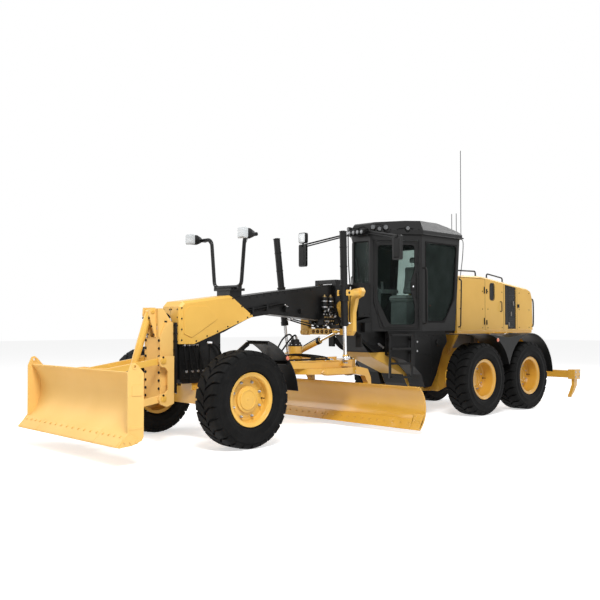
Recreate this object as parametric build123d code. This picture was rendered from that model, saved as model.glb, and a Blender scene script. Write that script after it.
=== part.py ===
from build123d import *
from math import acos, atan2, cos, degrees, pi, radians, sin
import os

# Motor grader with a front lift blade and a rear ripper. Millimetres, +Z up, the front faces -Y,
# +X is the machine's left. Sizes along Y are measured from the front axle, and every node is moved
# by -Y_MID when it is written, so that the origin is the middle of the box on the ground.

# Layout of the whole machine
WHEELBASE = 6123          # front axle to the middle of the tandem
TANDEM_SPACING = 1523
HALF_TRACK = 1078
AXLE_Z = 640              # height of every wheel centre
FRONT_TIP_Y = -1985
REAR_TIP_Y = 9105
Y_MID = (FRONT_TIP_Y + REAR_TIP_Y) / 2
RUN = 0.3                 # running clearance of pins, shafts and hinges
GAP = 6                   # free space beside parts that move past each other
SEAT_GAP = 0.3            # between two pieces that are bolted together

# Tyres and rims
TYRE_R = 640              # out to the tips of the lugs
LUG_H = 26
LUGS = 26                 # chevron lugs round a tyre
LUG_W = 124               # a lug's length along the tread
LUG_SWEEP = 95            # how far a lug's ends lie behind its middle
TYRE_HALF_W = 218
TREAD_HALF_W = 178
BEAD_R = 318
FLANGE_R = 350
RIM_HALF_W = 190
RIM_WALL = 12
SPINDLE_R = 55
HUB_R = 150
HUB_LEN = 130
FENDER_R = 800
REAR_FENDER_R = 800
FENDER_END = 175          # where the front mudguard stops, in degrees round the wheel
FENDER_T = 8

# Front axle and steering
AXLE_BEAM_H = 200
AXLE_BEAM_W = 180
KINGPIN_X = 790
KINGPIN_R = 35
FORK_W = 150
KNUCKLE_R = 62            # round ends of the axle's tongue and the knuckle's ears
TIE_Y = 215
TIE_Z = 500

# Main frame of the front half
BOOM_HALF = 152
NOSE_FRONT_Y = -360
NOSE_BACK_Y = 350
NOSE_BOTTOM_Z = 800
BOOM_END_Y = 3490
HITCH_Y = 5050
HITCH_PIN_R = 55
SHROUD_HALF = 218
SHROUD_T = 8
NOSE_PLATE_Y = -480
NOSE_PLATE_HALF = 232
SADDLE_Y0 = 2650
SADDLE_Y1 = 2750

# Drawbar, circle and moldboard
BALL_Y = 430
BALL_Z = 900
CIRCLE_Y = 2300
CIRCLE_R = 765
CIRCLE_RI = 640
CIRCLE_TOP = 940
CIRCLE_H = 90
MOLD_HALF = 1981
MOLD_BOTTOM_Z = 70
MOLD_TOP_Z = 692
MOLD_BACK_Y = 2735
MOLD_R = 413
MOLD_T = 25
BLADE_HINGE_Y = 2820
BLADE_HINGE_Z = 245
RAIL_Y0 = 2683
RAIL_Y1 = 2745
RAIL_LOW_Z = (180, 212)
RAIL_HIGH_Z = (550, 582)
RAIL_HALF = 1700
CARRIER_Y0 = 2752
CARRIER_Y1 = 2772

# Blade lift cylinders
LIFT_TOP = (715, 2332, 2100)
LIFT_BALL = (660, 2415, 1072)
LIFT_BARREL_R = 55
LIFT_ROD_R = 28
LIFT_BARREL_UP = 940
LIFT_BARREL_DOWN = 515

# Centre-shift cylinder
SHIFT_BASE = (-560, 2520, 1130)
SHIFT_EYE = (300, 2610, 1490)

# Front lift blade
DOZER_HALF = 1285
DOZER_TOP_Z = 1065
DOZER_PLATE_Y = -1800
DOZER_T = 16
END_PLATE_T = 25
DOZER_LOW_PIN = (-1560, 505)
MAST_LOW_PIN = (-695, 629)
MAST_HIGH_PIN = (-700, 1133)
DOZER_HIGH_PIN = (
    DOZER_LOW_PIN[0] + MAST_HIGH_PIN[0] - MAST_LOW_PIN[0],
    DOZER_LOW_PIN[1] + MAST_HIGH_PIN[1] - MAST_LOW_PIN[1],
)
MAST_X = 280
MAST_PIN_R = 28
DOZER_CYL_TOP = (-745, 1785)
DOZER_CYL_EYE = (-1100, 700)
DOZER_BARREL_L = 790
DOZER_ROD_L = 800

# Cab: plan of one side, from the front post round to the rear post
CAB_FRONT = (205, 3525)
CAB_SIDE = (785, 4210)
CAB_REAR = (765, 5340)
CAB_REAR_LOW_Y = 5190
CAB_FLOOR_Z = 1490
CAB_EAVE_Z = 3090
CAB_ROOF_Z = 3390
CAB_WALL = 50
DOOR_T = 45

# Hood
HOOD_HALF = 560
HOOD_FRONT_Y = 5548
HOOD_REAR_Y = 8160
HOOD_BREAK_Y = 6340
HOOD_TOP_Z = 2530
HOOD_REAR_TOP_Z = 2335
HOOD_BOTTOM_Z = 1490
HOOD_T = 12
HOOD_GRILLE = [(7180, 1610), (7280, 1610), (7280, 1530), (7560, 1530), (7560, 2330), (7180, 2375)]
HOOD_VENT = [(6630, 2080), (6790, 2080), (6790, 2400), (6630, 2400)]

# Rear frame
RAIL_X = 250
RAIL_T = 60
RAIL_H = 260
RAIL_Z = 900
REAR_END_Y = 8150
SILL_H = 60
TANDEM_HALF_W = 120
TANDEM_X = 700
REAR_SPINDLE_R = 70

# Ripper
RIPPER_PIVOT = (8230, 700)
RIPPER_BEAM_Y = 8985
RIPPER_BEAM_Z = 560
RIPPER_HALF = 1150
RIPPER_BEAM_S = 150
RIPPER_CYL_TOP = (8200, 1080)
RIPPER_CYL_EYE = (8890, 690)

# Ladders
LADDER_BOTTOM_Z = 700
LADDER_TOP_Z = 1440
LADDER_TUBE = 38
LADDER_A = (475, 3690)
LADDER_B = (705, 4045)
TANK_FRONT_Y = 3760
TANK_OUTER_X = 660
TANK_INNER_X = 330
TANK_SET_IN = 100


def block(x0, x1, y0, y1, z0, z1):
    """A box between two corners."""
    middle = ((x0 + x1) / 2, (y0 + y1) / 2, (z0 + z1) / 2)
    return Pos(*middle) * Box(abs(x1 - x0), abs(y1 - y0), abs(z1 - z0))


def slab_x(points, x0, x1, corner=0):
    """A (y, z) outline, extruded from x0 to x1, with rounded corners if wanted."""
    face = make_face(Polyline(*[(x0, y, z) for y, z in points], close=True))
    if corner:
        face = fillet(face.vertices(), corner)
    return extrude(face, amount=x1 - x0, dir=(1, 0, 0))


def slab_y(points, y0, y1):
    """An (x, z) outline, extruded from y0 to y1."""
    face = make_face(Polyline(*[(x, y0, z) for x, z in points], close=True))
    return extrude(face, amount=y1 - y0, dir=(0, 1, 0))


def slab_z(points, z0, z1):
    """An (x, y) outline, extruded from z0 to z1."""
    face = make_face(Polyline(*[(x, y, z0) for x, y in points], close=True))
    return extrude(face, amount=z1 - z0, dir=(0, 0, 1))


def shaft(start, end, radius):
    """A round bar from one point to another."""
    along = Vector(*end) - Vector(*start)
    return Solid.make_cylinder(radius, along.length, Plane(origin=start, z_dir=along))


def pipe(start, end, outer, inner):
    """A round tube from one point to another."""
    return shaft(start, end, outer) - shaft(start, end, inner)


def bent_tube(points, radius, bend):
    """A round bar along straight runs with rounded corners."""
    path = FilletPolyline(*points, radius=bend)
    return sweep(Plane(origin=path @ 0, z_dir=path % 0) * Circle(radius), path=path)


def x_pin(y, z, x0, x1, radius):
    """A pin along X."""
    return shaft((x0, y, z), (x1, y, z), radius)


def mirrored(shape):
    """The same piece on the machine's right."""
    return mirror(shape, about=Plane.YZ)


def both(shape):
    """A piece and its mirror image."""
    return [shape, mirrored(shape)]


def solids_of(things):
    """All solids of a nested list of shapes."""
    found = []
    for thing in things if isinstance(things, (list, tuple)) else [things]:
        if isinstance(thing, (list, tuple)) and not isinstance(thing, Shape):
            found += solids_of(thing)
        else:
            found += list(thing.solids())
    return found


def write(node, things):
    """Move a node's solids to the machine's origin and write them."""
    moved = [solid.moved(Location((0, -Y_MID, 0))) for solid in solids_of(things)]
    export_step(Compound(children=moved) if len(moved) > 1 else moved[0], f"parts/{node}.step")


def between(start, end, distance):
    """The point at a distance from start towards end."""
    return tuple(Vector(*start) + (Vector(*end) - Vector(*start)).normalized() * distance)


# Wheels

def turned(profile, x, y):
    """Revolve a (radius, side) profile about a wheel's axle; side is along +X."""
    points = [(x + side, y, AXLE_Z + radius) for radius, side in profile]
    face = make_face(Polyline(*points, close=True))
    return revolve(face, axis=Axis((x, y, AXLE_Z), (1, 0, 0)))


def tyre_solid():
    """A faceted tyre about the X axis: bead, bulged walls and a tread of chevron lugs, one to each sector."""
    pitch = 360 / LUGS
    lug = degrees(LUG_W / TYRE_R)
    flank = (pitch - lug) * 0.2
    sweep = degrees(LUG_SWEEP / TYRE_R)
    edge_r = TYRE_R - 4
    panels = []

    def spot(side, radius, angle):
        return (side, radius * sin(radians(angle)), radius * cos(radians(angle)))

    def ring(side, radius):
        """Corners in the middle of each groove; the faces lie no nearer the axle than the radius."""
        far = radius / cos(pi / LUGS)
        return [spot(side, far, 180 + i * pitch + sweep - (pitch - lug) / 2) for i in range(LUGS)]

    def tread_row(side, top_r, floor_r, shift):
        """For each lug: its start and end on top, then the start and end of the groove behind it."""
        row = []
        for i in range(LUGS):
            start = 180 + i * pitch + shift
            row += [spot(side, top_r, start), spot(side, top_r, start + lug)]
            row += [spot(side, floor_r, start + lug + flank), spot(side, floor_r, start + pitch - flank)]
        return row

    def panel(*corners):
        panels.append(Face(Wire.make_polygon([Vector(*c) for c in corners])))

    middle = tread_row(0, TYRE_R, TYRE_R - LUG_H, 0)
    bores = []
    for side in (1, -1):
        edge = tread_row(side * (TREAD_HALF_W + 10), edge_r, TYRE_R - LUG_H - 6, sweep)
        count = len(edge)
        for i in range(count):
            j = (i + 1) % count
            panel(middle[i], edge[i], edge[j])
            panel(middle[i], edge[j], middle[j])
        rings = [
            ring(side * (TYRE_HALF_W - 8), TYRE_R - 70), ring(side * TYRE_HALF_W, FLANGE_R + 110),
            ring(side * (RIM_HALF_W - 36), BEAD_R + RUN),
        ]
        shoulder = rings[0]
        for i in range(LUGS):
            j = (i + 1) % LUGS
            k = 4 * i
            panel(shoulder[i], edge[k], edge[k + 1])
            panel(shoulder[i], edge[k + 1], shoulder[j])
            panel(shoulder[j], edge[k + 1], edge[k + 2])
            panel(shoulder[j], edge[k + 2], edge[k + 3])
            panel(shoulder[j], edge[k + 3], edge[(k + 4) % count])
        for near, far in zip(rings, rings[1:]):
            for i in range(LUGS):
                j = (i + 1) % LUGS
                panel(near[i], near[j], far[j], far[i])
        bores.append(rings[-1])
    for i in range(LUGS):
        j = (i + 1) % LUGS
        panel(bores[0][i], bores[0][j], bores[1][j], bores[1][i])
    return Solid(Shell(panels))


def rim(x, y, side, dish, cap, hub_bore):
    """A wheel rim with its disc and hub; dish is where the disc lies along the side."""
    barrel = BEAD_R - RIM_WALL
    outline = [
        (barrel, -RIM_HALF_W + 20),
        (BEAD_R - 8, -RIM_HALF_W + 20),
        (FLANGE_R, -RIM_HALF_W + 8),
        (FLANGE_R, -RIM_HALF_W + 20),
        (BEAD_R, -RIM_HALF_W + 29),
        (BEAD_R, RIM_HALF_W - 29),
        (FLANGE_R, RIM_HALF_W - 20),
        (FLANGE_R, RIM_HALF_W - 8),
        (BEAD_R - 8, RIM_HALF_W - 20),
        (barrel, RIM_HALF_W - 20),
    ]
    ring = turned([(r, side * s) for r, s in outline], x, y)
    disc = [
        (hub_bore, dish - HUB_LEN),
        (HUB_R, dish - HUB_LEN),
        (HUB_R, dish - 18),
        (barrel, dish - 30),
        (barrel, dish),
        (HUB_R, dish + 12),
        (HUB_R - 20, dish + cap),
        (0, dish + cap),
        (0, dish + cap - 20),
        (hub_bore, dish + cap - 20),
    ]
    return ring + turned([(r, side * s) for r, s in disc], x, y)


FRONT_DISH = 62
FRONT_CAP = 50
REAR_DISH = -40
REAR_CAP = 26


def wheel(name, x, y, dish, cap, hub_bore, tyre):
    side = 1 if x > 0 else -1
    write(f"tyre_{name}", tyre.moved(Location((x, y, AXLE_Z))))
    write(f"rim_{name}", rim(x, y, side, dish, cap, hub_bore))


def spindle(side, y, inner_x, dish, cap, radius):
    """A stub that a wheel turns on, from an inboard face out into the hub."""
    tip = HALF_TRACK + dish + cap - 20 - GAP
    return shaft((side * inner_x, y, AXLE_Z), (side * tip, y, AXLE_Z), radius)


# Front axle and steering

def front_axle():
    """A box beam under the nose, with a tongue at each end bored for the kingpin."""
    end = KINGPIN_X - FORK_W / 2
    low = AXLE_Z - AXLE_BEAM_H / 2
    high = AXLE_Z + AXLE_BEAM_H / 2
    half = AXLE_BEAM_W / 2
    outline = [
        (-end, low + 20), (-320, low - 30), (320, low - 30), (end, low + 20),
        (end, high - 20), (320, high), (-320, high), (-end, high - 20),
    ]
    beam = slab_y(outline, -half, half)
    pivot = block(-130, 130, -half - 40, half + 40, high - 40, NOSE_BOTTOM_Z)
    axle = beam + pivot
    for side in (1, -1):
        axle += block(side * (end - 1), side * KINGPIN_X, -KNUCKLE_R, KNUCKLE_R, AXLE_Z - 60, AXLE_Z + 60)
        axle += shaft((side * KINGPIN_X, 0, AXLE_Z - 60), (side * KINGPIN_X, 0, AXLE_Z + 60), KNUCKLE_R)
        axle -= shaft((side * KINGPIN_X, 0, AXLE_Z - 99), (side * KINGPIN_X, 0, AXLE_Z + 99), KINGPIN_R + RUN)
    return axle


def knuckle(side):
    """A steering knuckle: two round-ended ears over and under the axle, the kingpin, the spindle and an arm."""
    outer = HALF_TRACK + FRONT_DISH - HUB_LEN - GAP
    parts = block(side * (KINGPIN_X + 130), side * outer, -75, 75, AXLE_Z - 120, AXLE_Z + 120)
    for low, high in ((61, 120), (-120, -61)):
        parts += block(side * KINGPIN_X, side * outer, -KNUCKLE_R, KNUCKLE_R, AXLE_Z + low, AXLE_Z + high)
        parts += shaft((side * KINGPIN_X, 0, AXLE_Z + low), (side * KINGPIN_X, 0, AXLE_Z + high), KNUCKLE_R)
    parts += shaft((side * KINGPIN_X, 0, AXLE_Z - 62), (side * KINGPIN_X, 0, AXLE_Z + 62), KINGPIN_R)
    parts += spindle(side, 0, KINGPIN_X + 131, FRONT_DISH, FRONT_CAP, SPINDLE_R)
    parts += block(side * (KINGPIN_X - 28), side * (KINGPIN_X + 28), 30, TIE_Y, TIE_Z + 25, TIE_Z + 45)
    parts += shaft((side * KINGPIN_X, TIE_Y, TIE_Z + 25), (side * KINGPIN_X, TIE_Y, TIE_Z + 45), 28)
    parts += shaft((side * KINGPIN_X, TIE_Y, TIE_Z - 30), (side * KINGPIN_X, TIE_Y, TIE_Z + 26), 15)
    return parts


def tie_rod():
    """The bar that joins the two knuckles' arms."""
    body = x_pin(TIE_Y, TIE_Z, -KINGPIN_X + 20, KINGPIN_X - 20, 22)
    for side in (1, -1):
        body += shaft((side * KINGPIN_X, TIE_Y, TIE_Z - 24), (side * KINGPIN_X, TIE_Y, TIE_Z + 24), 30)
        body -= shaft((side * KINGPIN_X, TIE_Y, TIE_Z - 31), (side * KINGPIN_X, TIE_Y, TIE_Z + 31), 15 + RUN)
    return body


def arc_plate(y, radius, start, stop, x0, x1, thick):
    """A curved plate over a wheel, from one angle to another; 90 is above the axle, 180 behind it."""
    outer = [(y - radius * cos(radians(a)), AXLE_Z + radius * sin(radians(a))) for a in (start, (start + stop) / 2, stop)]
    inner_r = radius - thick
    inner = [(y - inner_r * cos(radians(a)), AXLE_Z + inner_r * sin(radians(a))) for a in (stop, (start + stop) / 2, start)]
    edge = Wire([
        ThreePointArc(*[(x0, p, q) for p, q in outer]),
        Line((x0, *outer[2]), (x0, *inner[0])),
        ThreePointArc(*[(x0, p, q) for p, q in inner]),
        Line((x0, *inner[2]), (x0, *outer[0])),
    ])
    return extrude(make_face(edge), amount=x1 - x0, dir=(1, 0, 0))


def front_fender(side):
    """A mudguard that turns with the front wheel, on a bracket from the knuckle."""
    x0 = side * (HALF_TRACK - TYRE_HALF_W - 10)
    x1 = side * (HALF_TRACK + TYRE_HALF_W)
    low, high = min(x0, x1), max(x0, x1)
    plate = arc_plate(0, FENDER_R, 108.5, FENDER_END, low, high, FENDER_T)
    foot = side * (HALF_TRACK - TYRE_HALF_W - 30)
    post = slab_x([(-18, AXLE_Z + 120), (18, AXLE_Z + 120), (36, 1150), (312, 1330), (306, 1378), (276, 1378), (-4, 1190)],
                  foot - 14, foot + 14)
    for y in (290, 640):
        z = AXLE_Z + ((FENDER_R - FENDER_T - 14.2) ** 2 - y ** 2) ** 0.5
        post += x_pin(y, z, min(foot, x1 - side * 60), max(foot, x1 - side * 60), 14)
    brace = slab_x([(36, 1128), (36, 1150), (60, 1166), (652, 1094), (652, 1066)], foot - 10, foot + 10)
    return [plate, post + brace]


# Front half frame

def boom():
    """The main frame from the nose back over the circle to the cab, as one box section."""
    outline = [
        (NOSE_FRONT_Y, 1840), (-290, 1890), (1378, 2105), (2837, 2275), (BOOM_END_Y, 2275),
        (BOOM_END_Y, 1735), (3100, 1655), (2670, 1655), (1297, 1766), (911, 1715), (NOSE_BACK_Y, 1480),
        (NOSE_BACK_Y, NOSE_BOTTOM_Z + 20), (NOSE_BACK_Y - 20, NOSE_BOTTOM_Z),
        (NOSE_FRONT_Y + 60, NOSE_BOTTOM_Z), (NOSE_FRONT_Y, NOSE_BOTTOM_Z + 60),
    ]
    beam = slab_x(outline, -BOOM_HALF, BOOM_HALF)
    beam += block(-120, 120, NOSE_PLATE_Y + 29, NOSE_FRONT_Y + 1, 860, 1300)
    beam += block(-NOSE_PLATE_HALF, NOSE_PLATE_HALF, NOSE_PLATE_Y, NOSE_PLATE_Y + 30, 690, 1640)
    socket = Pos(0, BALL_Y, BALL_Z) * Sphere(76) + shaft((0, NOSE_BACK_Y - 1, BALL_Z), (0, BALL_Y, BALL_Z), 76)
    socket -= Pos(0, BALL_Y, BALL_Z) * Sphere(52 + RUN)
    socket -= block(-90, 90, BALL_Y + 16, BALL_Y + 90, BALL_Z - 90, BALL_Z + 90)
    extras = []
    panel = block(BOOM_HALF + SEAT_GAP, 290, 3130, 3440, 1735, 2300)
    extras += both(panel)
    for y in (2410, 2545):
        clip = block(BOOM_HALF + SEAT_GAP, BOOM_HALF + 60, y - 25, y + 25, 1900, 1960)
        extras.append(clip + turned_up([(0, 1830), (36, 1830), (50, 1850), (50, 2030), (36, 2050), (0, 2050)],
                                       BOOM_HALF + 60, y))
    extras.append(block(BOOM_HALF + SEAT_GAP, BOOM_HALF + 105, 2330, 2625, 1600, 1790))
    return [beam + socket] + extras


def nose_shroud():
    """A thin cover over the nose, bevelled along its front and top edges, open below and behind."""
    outline = [
        (-397, 1347), (-397, 1860), (-330, 1930), (478, 2030), (911, 1731), (-158, 1343),
    ]
    outer = long_bevels(slab_x(outline, -SHROUD_HALF, SHROUD_HALF), SHROUD_HALF, 1345, 300, 34)
    t = SHROUD_T
    inner_outline = [
        (-397 + t, 1300), (-397 + t, 1860 - t / 2), (-330 + t, 1930 - t), (478, 2030 - t),
        (1100, 2030 - t), (1100, 1600), (-158, 1300),
    ]
    inner = slab_x(inner_outline, -SHROUD_HALF + t, SHROUD_HALF - t)
    shell = outer - long_bevels(inner, SHROUD_HALF - t, 1299, 300, 34)
    for y, z in ((-250, 1500), (-200, 1760), (350, 1640), (350, 1880)):
        boss = shaft((BOOM_HALF, y, z), (SHROUD_HALF - t + 1, y, z), 22)
        shell += boss
        shell += mirrored(boss)
    return shell


def frame_tail():
    """Two side plates that drop under the cab to the hitch, with the fork for its pins."""
    outline = [
        (2900, 1655), (3100, 1655), (BOOM_END_Y, 1735), (BOOM_END_Y + 28, 1735), (BOOM_END_Y + 28, CAB_FLOOR_Z),
        (4700, CAB_FLOOR_Z), (4925, 1300), (4925, 420), (4560, 420), (4430, 560), (4340, 735), (3500, 1060), (3080, 1470),
    ]
    plates = slab_x(outline, 160, 250)
    web = slab_x(outline, -161, 161)
    body = plates + mirrored(plates) + web
    for z0, z1 in ((430, 520), (1160, 1250)):
        body += block(-110, 110, 4900, HITCH_Y, z0, z1)
        body += shaft((0, HITCH_Y, z0), (0, HITCH_Y, z1), 110)
        body -= shaft((0, HITCH_Y, z0 - 1), (0, HITCH_Y, z1 + 1), HITCH_PIN_R + RUN)
    return body


def lift_fork(side):
    """The fork on a lift arm's end that holds the cylinder's two trunnions."""
    x, y, z = LIFT_TOP
    body = block(side * (x - 110), side * (x + 110), y + 75, y + 115, z - 45, z + 45)
    for s in (1, -1):
        ear = side * x + s * 95
        body += block(ear - 15, ear + 15, y - 40, y + 76, z - 45, z + 45)
        body -= shaft((ear - 16, y, z), (ear + 16, y, z), 22 + RUN)
    return body


def saddle():
    """The casting round the boom, with the two lift arms, the link bar with its holes and the two forks."""
    y0, y1 = SADDLE_Y0, SADDLE_Y1
    collar = block(-BOOM_HALF - 80, BOOM_HALF + 80, y0, y1, 1600, 2330)
    body = collar - slab_x([(y0 - 1, 1655), (y1 + 1, 1655), (y1 + 1, 2275), (y0 - 1, 2275)], -BOOM_HALF, BOOM_HALF)
    arm = [
        (200, 1760), (200, 1900), (330, 2010), (600, 2170), (760, 2190), (800, 2130), (760, 2060),
        (660, 2020), (600, 1800), (600, 1500), (540, 1430), (460, 1430), (420, 1500), (420, 1700),
    ]
    near = slab_y(arm, y0 + 10, y1 - 10)
    bar_front = y0 + 15
    bar = block(-500, 500, bar_front, y1 - 15, 1440, 1540)
    for x in (-300, -200, -100, 0, 100, 200):
        bar -= shaft((x, y0, 1490), (x, y1, 1490), 22)
    x, y, z = LIFT_TOP
    near += shaft((x, y0 + 11, z), (x, y + 115 + SEAT_GAP, z), 45)
    body += near
    body += mirrored(near)
    body += bar
    x, y, z = SHIFT_EYE
    pin = shaft((x, y - 95, z), (x, bar_front - SEAT_GAP, z), 20)
    return [body, lift_fork(1), lift_fork(-1), pin]


def lift_barrel(side):
    """A lift cylinder barrel on two trunnions, with its open end downwards."""
    x, y, z = LIFT_TOP
    top = (side * x, y, z)
    ball = (side * LIFT_BALL[0], LIFT_BALL[1], LIFT_BALL[2])
    upper = between(top, ball, -LIFT_BARREL_UP)
    lower = between(top, ball, LIFT_BARREL_DOWN)
    body = shaft(upper, lower, LIFT_BARREL_R)
    body += shaft((side * x - 110, y, z), (side * x + 110, y, z), 22)
    body += shaft((side * x - 78, y, z), (side * x + 78, y, z), 40)
    body += shaft(between(top, ball, -130), between(top, ball, 130), LIFT_BARREL_R + 12)
    body -= shaft(between(top, ball, -LIFT_BARREL_UP + 30), between(top, ball, LIFT_BARREL_DOWN + 1), LIFT_ROD_R + 8)
    return body


def lift_rod(side):
    """A lift cylinder rod with its piston and the open cup over the drawbar's ball."""
    top = (side * LIFT_TOP[0], LIFT_TOP[1], LIFT_TOP[2])
    ball = (side * LIFT_BALL[0], LIFT_BALL[1], LIFT_BALL[2])
    body = shaft(between(ball, top, 46), between(ball, top, 820), LIFT_ROD_R)
    body += shaft(between(ball, top, 780), between(ball, top, 820), LIFT_ROD_R + 8 - RUN)
    cup = Pos(*ball) * Sphere(60) - Pos(*ball) * Sphere(45)
    cut_at = between(ball, top, -6)
    low = between(ball, top, -120)
    cup -= shaft(cut_at, low, 90)
    return body + cup


# Drawbar, circle and moldboard

def drawbar():
    """An A-shaped frame from the ball at the nose to the plate over the circle."""
    plan = [
        (-70, 560), (70, 560), (110, 900), (470, 1650), (600, 1950), (640, 2300), (600, 2640), (430, 2900),
        (-430, 2900), (-600, 2640), (-640, 2300), (-600, 1950), (-470, 1650), (-110, 900),
    ]
    plate = slab_z(plan, CIRCLE_TOP + RUN, CIRCLE_TOP + 110)
    window = [(-60, 1100), (60, 1100), (300, 1660), (-300, 1660)]
    plate -= slab_z(window, CIRCLE_TOP - 1, CIRCLE_TOP + 111)
    tongue = slab_x([(540, 858), (640, 850), (1000, CIRCLE_TOP + 1), (1000, CIRCLE_TOP + 110), (700, CIRCLE_TOP + 110),
                     (540, 942)], -70, 70)
    body = plate + tongue
    body += shaft((0, BALL_Y + 30, BALL_Z), (0, 560, BALL_Z), 34)
    body += Pos(0, BALL_Y, BALL_Z) * Sphere(52)
    for side in (1, -1):
        x, y, z = side * LIFT_BALL[0], LIFT_BALL[1], LIFT_BALL[2]
        body += block(side * 590, side * 690, y - 70, y + 70, CIRCLE_TOP + 20, z - 66)
        body += shaft((x, y, z - 70), (x, y, z - 10), 15)
        body += Pos(x, y, z) * Sphere(28)
    sx, sy, sz = SHIFT_BASE
    body += block(sx - 40, sx + 40, sy - 60, sy - 35, CIRCLE_TOP + 100, sz + 40)
    body += block(sx - 40, sx + 40, sy + 35, sy + 60, CIRCLE_TOP + 100, sz + 40)
    body -= shaft((sx, sy - 61, sz), (sx, sy + 61, sz), 20 + RUN)
    motor = shaft((0, 1960, CIRCLE_TOP + 105), (0, 1960, CIRCLE_TOP + 330), 110)
    return body + motor


def circle():
    """The toothed ring with the two arms that carry the moldboard."""
    ring = pipe((0, CIRCLE_Y, CIRCLE_TOP - CIRCLE_H), (0, CIRCLE_Y, CIRCLE_TOP), CIRCLE_R, CIRCLE_RI)
    arm = [
        (CIRCLE_Y - 420, CIRCLE_TOP - 60), (CIRCLE_Y - 300, CIRCLE_TOP - 1), (2720, CIRCLE_TOP - 1),
        (2910, 900), (2985, 760), (3010, 300), (2960, 130), (BLADE_HINGE_Y + 60, 130),
        (BLADE_HINGE_Y + 60, 330), (2915, 430), (2905, 690), (2840, 790), (2640, 830), (CIRCLE_Y - 300, 830),
    ]
    near = slab_x(arm, 590, 690)
    body = ring + near + mirrored(near)
    y, z = BLADE_HINGE_Y, BLADE_HINGE_Z
    for side in (1, -1):
        for a, b in ((590, 612), (668, 690)):
            body += shaft((side * a, y, z), (side * b, y, z), 44)
            body += block(side * a, side * b, y, y + 62, z - 44, z + 44)
        body -= shaft((side * 580, y, z), (side * 700, y, z), 24 + RUN)
    return body


def blade_carrier():
    """The frame that tilts on the circle's arms and grips the moldboard's two rails."""
    y, z = BLADE_HINGE_Y, BLADE_HINGE_Z
    x0, x1 = 618, 662
    body = block(570, 710, CARRIER_Y0, CARRIER_Y1, 150, 615)
    body += x_pin(y, z, x0, x1, 40)
    body += block(x0, x1, CARRIER_Y1 - 1, y, z - 40, z + 40)
    body += x_pin(y, z, x0 - 27, x1 + 27, 24)
    for low, high in (RAIL_LOW_Z, RAIL_HIGH_Z):
        shoe = block(570, 710, 2717, CARRIER_Y0 + 1, low - 26, high + 26)
        shoe -= block(569, 711, 2700, RAIL_Y1 + RUN, low - RUN, high + RUN)
        body += shoe
    tube = block(-571, 571, CARRIER_Y0, CARRIER_Y1, 330, 450)
    return body + mirrored(body) + tube


def moldboard():
    """The curved blade: an arc plate with end bits, a cutting edge and two rails behind."""
    mid_z = (MOLD_BOTTOM_Z + MOLD_TOP_Z) / 2
    chord = (MOLD_TOP_Z - MOLD_BOTTOM_Z) / 2
    x0 = -MOLD_HALF
    back = MOLD_BACK_Y
    sag = MOLD_R - (MOLD_R ** 2 - chord ** 2) ** 0.5
    outer = [(back - sag, MOLD_BOTTOM_Z), (back, mid_z), (back - sag, MOLD_TOP_Z)]
    t = MOLD_T
    inner = [(back - sag - t, MOLD_TOP_Z), (back - t, mid_z), (back - sag - t, MOLD_BOTTOM_Z)]
    edge = Wire([
        ThreePointArc(*[(x0, p, q) for p, q in outer]),
        Line((x0, *outer[2]), (x0, *inner[0])),
        ThreePointArc(*[(x0, p, q) for p, q in inner]),
        Line((x0, *inner[2]), (x0, *outer[0])),
    ])
    plate = extrude(make_face(edge), amount=2 * MOLD_HALF, dir=(1, 0, 0))
    for low, high in (RAIL_LOW_Z, RAIL_HIGH_Z):
        plate += block(-RAIL_HALF, RAIL_HALF, RAIL_Y0, RAIL_Y1, low, high)
    return plate


# Front lift blade

def dozer_mast():
    """The frame bolted to the nose: front plate, box sides and pin plates, with two bolted ears for the cylinder."""
    back = NOSE_PLATE_Y
    front = block(-190, 190, -690, -665, 600, 1440)
    sides = slab_x([(back, 700), (back, 1640), (-600, 1640), (-690, 1440), (-690, 700), (-600, 620)], 150, 185)
    pin_plate = slab_x([
        (-529, 560), (-529, 1190), (-560, 1190), (-755, 1190), (-770, 1120), (-745, 1060),
        (-660, 1040), (-625, 980), (-625, 740), (-660, 700), (-750, 690), (-770, 620), (-740, 560), (-640, 520),
    ], MAST_X - 30, MAST_X)
    floor = block(184, MAST_X - 29, -600, -530, 800, 960)
    low = 1440 + SEAT_GAP
    ear = slab_x([(-664, low), (-664, 1500), (-700, 1840), (-790, 1840), (-800, 1740), (-700, low)], 58, 84)
    inner = back - SEAT_GAP
    head = slab_x([(inner, 1640), (inner, low), (-690, low), (-700, 1830), (-620, 1830)], 83, 150 - SEAT_GAP)
    tower = ear + head
    y, z = DOZER_CYL_TOP
    tower -= x_pin(y, z, 50, 200, 20 + RUN)
    body = front
    for part in (sides, pin_plate, floor):
        body += part
        body += mirrored(part)
    body += block(-151, 151, back - 60, back, 1380, 1440)
    body += block(-151, 151, -690, -660, 1380, 1440)
    for y, z in (MAST_LOW_PIN, MAST_HIGH_PIN):
        body -= x_pin(y, z, MAST_X - 40, MAST_X + 5, MAST_PIN_R + RUN)
        body -= x_pin(y, z, -MAST_X - 5, -MAST_X + 40, MAST_PIN_R + RUN)
    return [body] + both(tower)


def push_arm(near_pin, far_pin, x0, x1, radius):
    """A flat link between two X pins, with a round eye at each end; its mast pins are solid with it."""
    (ya, za), (yb, zb) = near_pin, far_pin
    along = Vector(0, yb - ya, zb - za).normalized()
    across = Vector(0, -along.Z, along.Y) * (radius * 0.8)
    points = [
        (ya + across.Y, za + across.Z), (yb + across.Y, zb + across.Z),
        (yb - across.Y, zb - across.Z), (ya - across.Y, za - across.Z),
    ]
    arm = slab_x(points, x0, x1) + x_pin(ya, za, x0, x1, radius) + x_pin(yb, zb, x0, x1, radius)
    return arm


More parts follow.
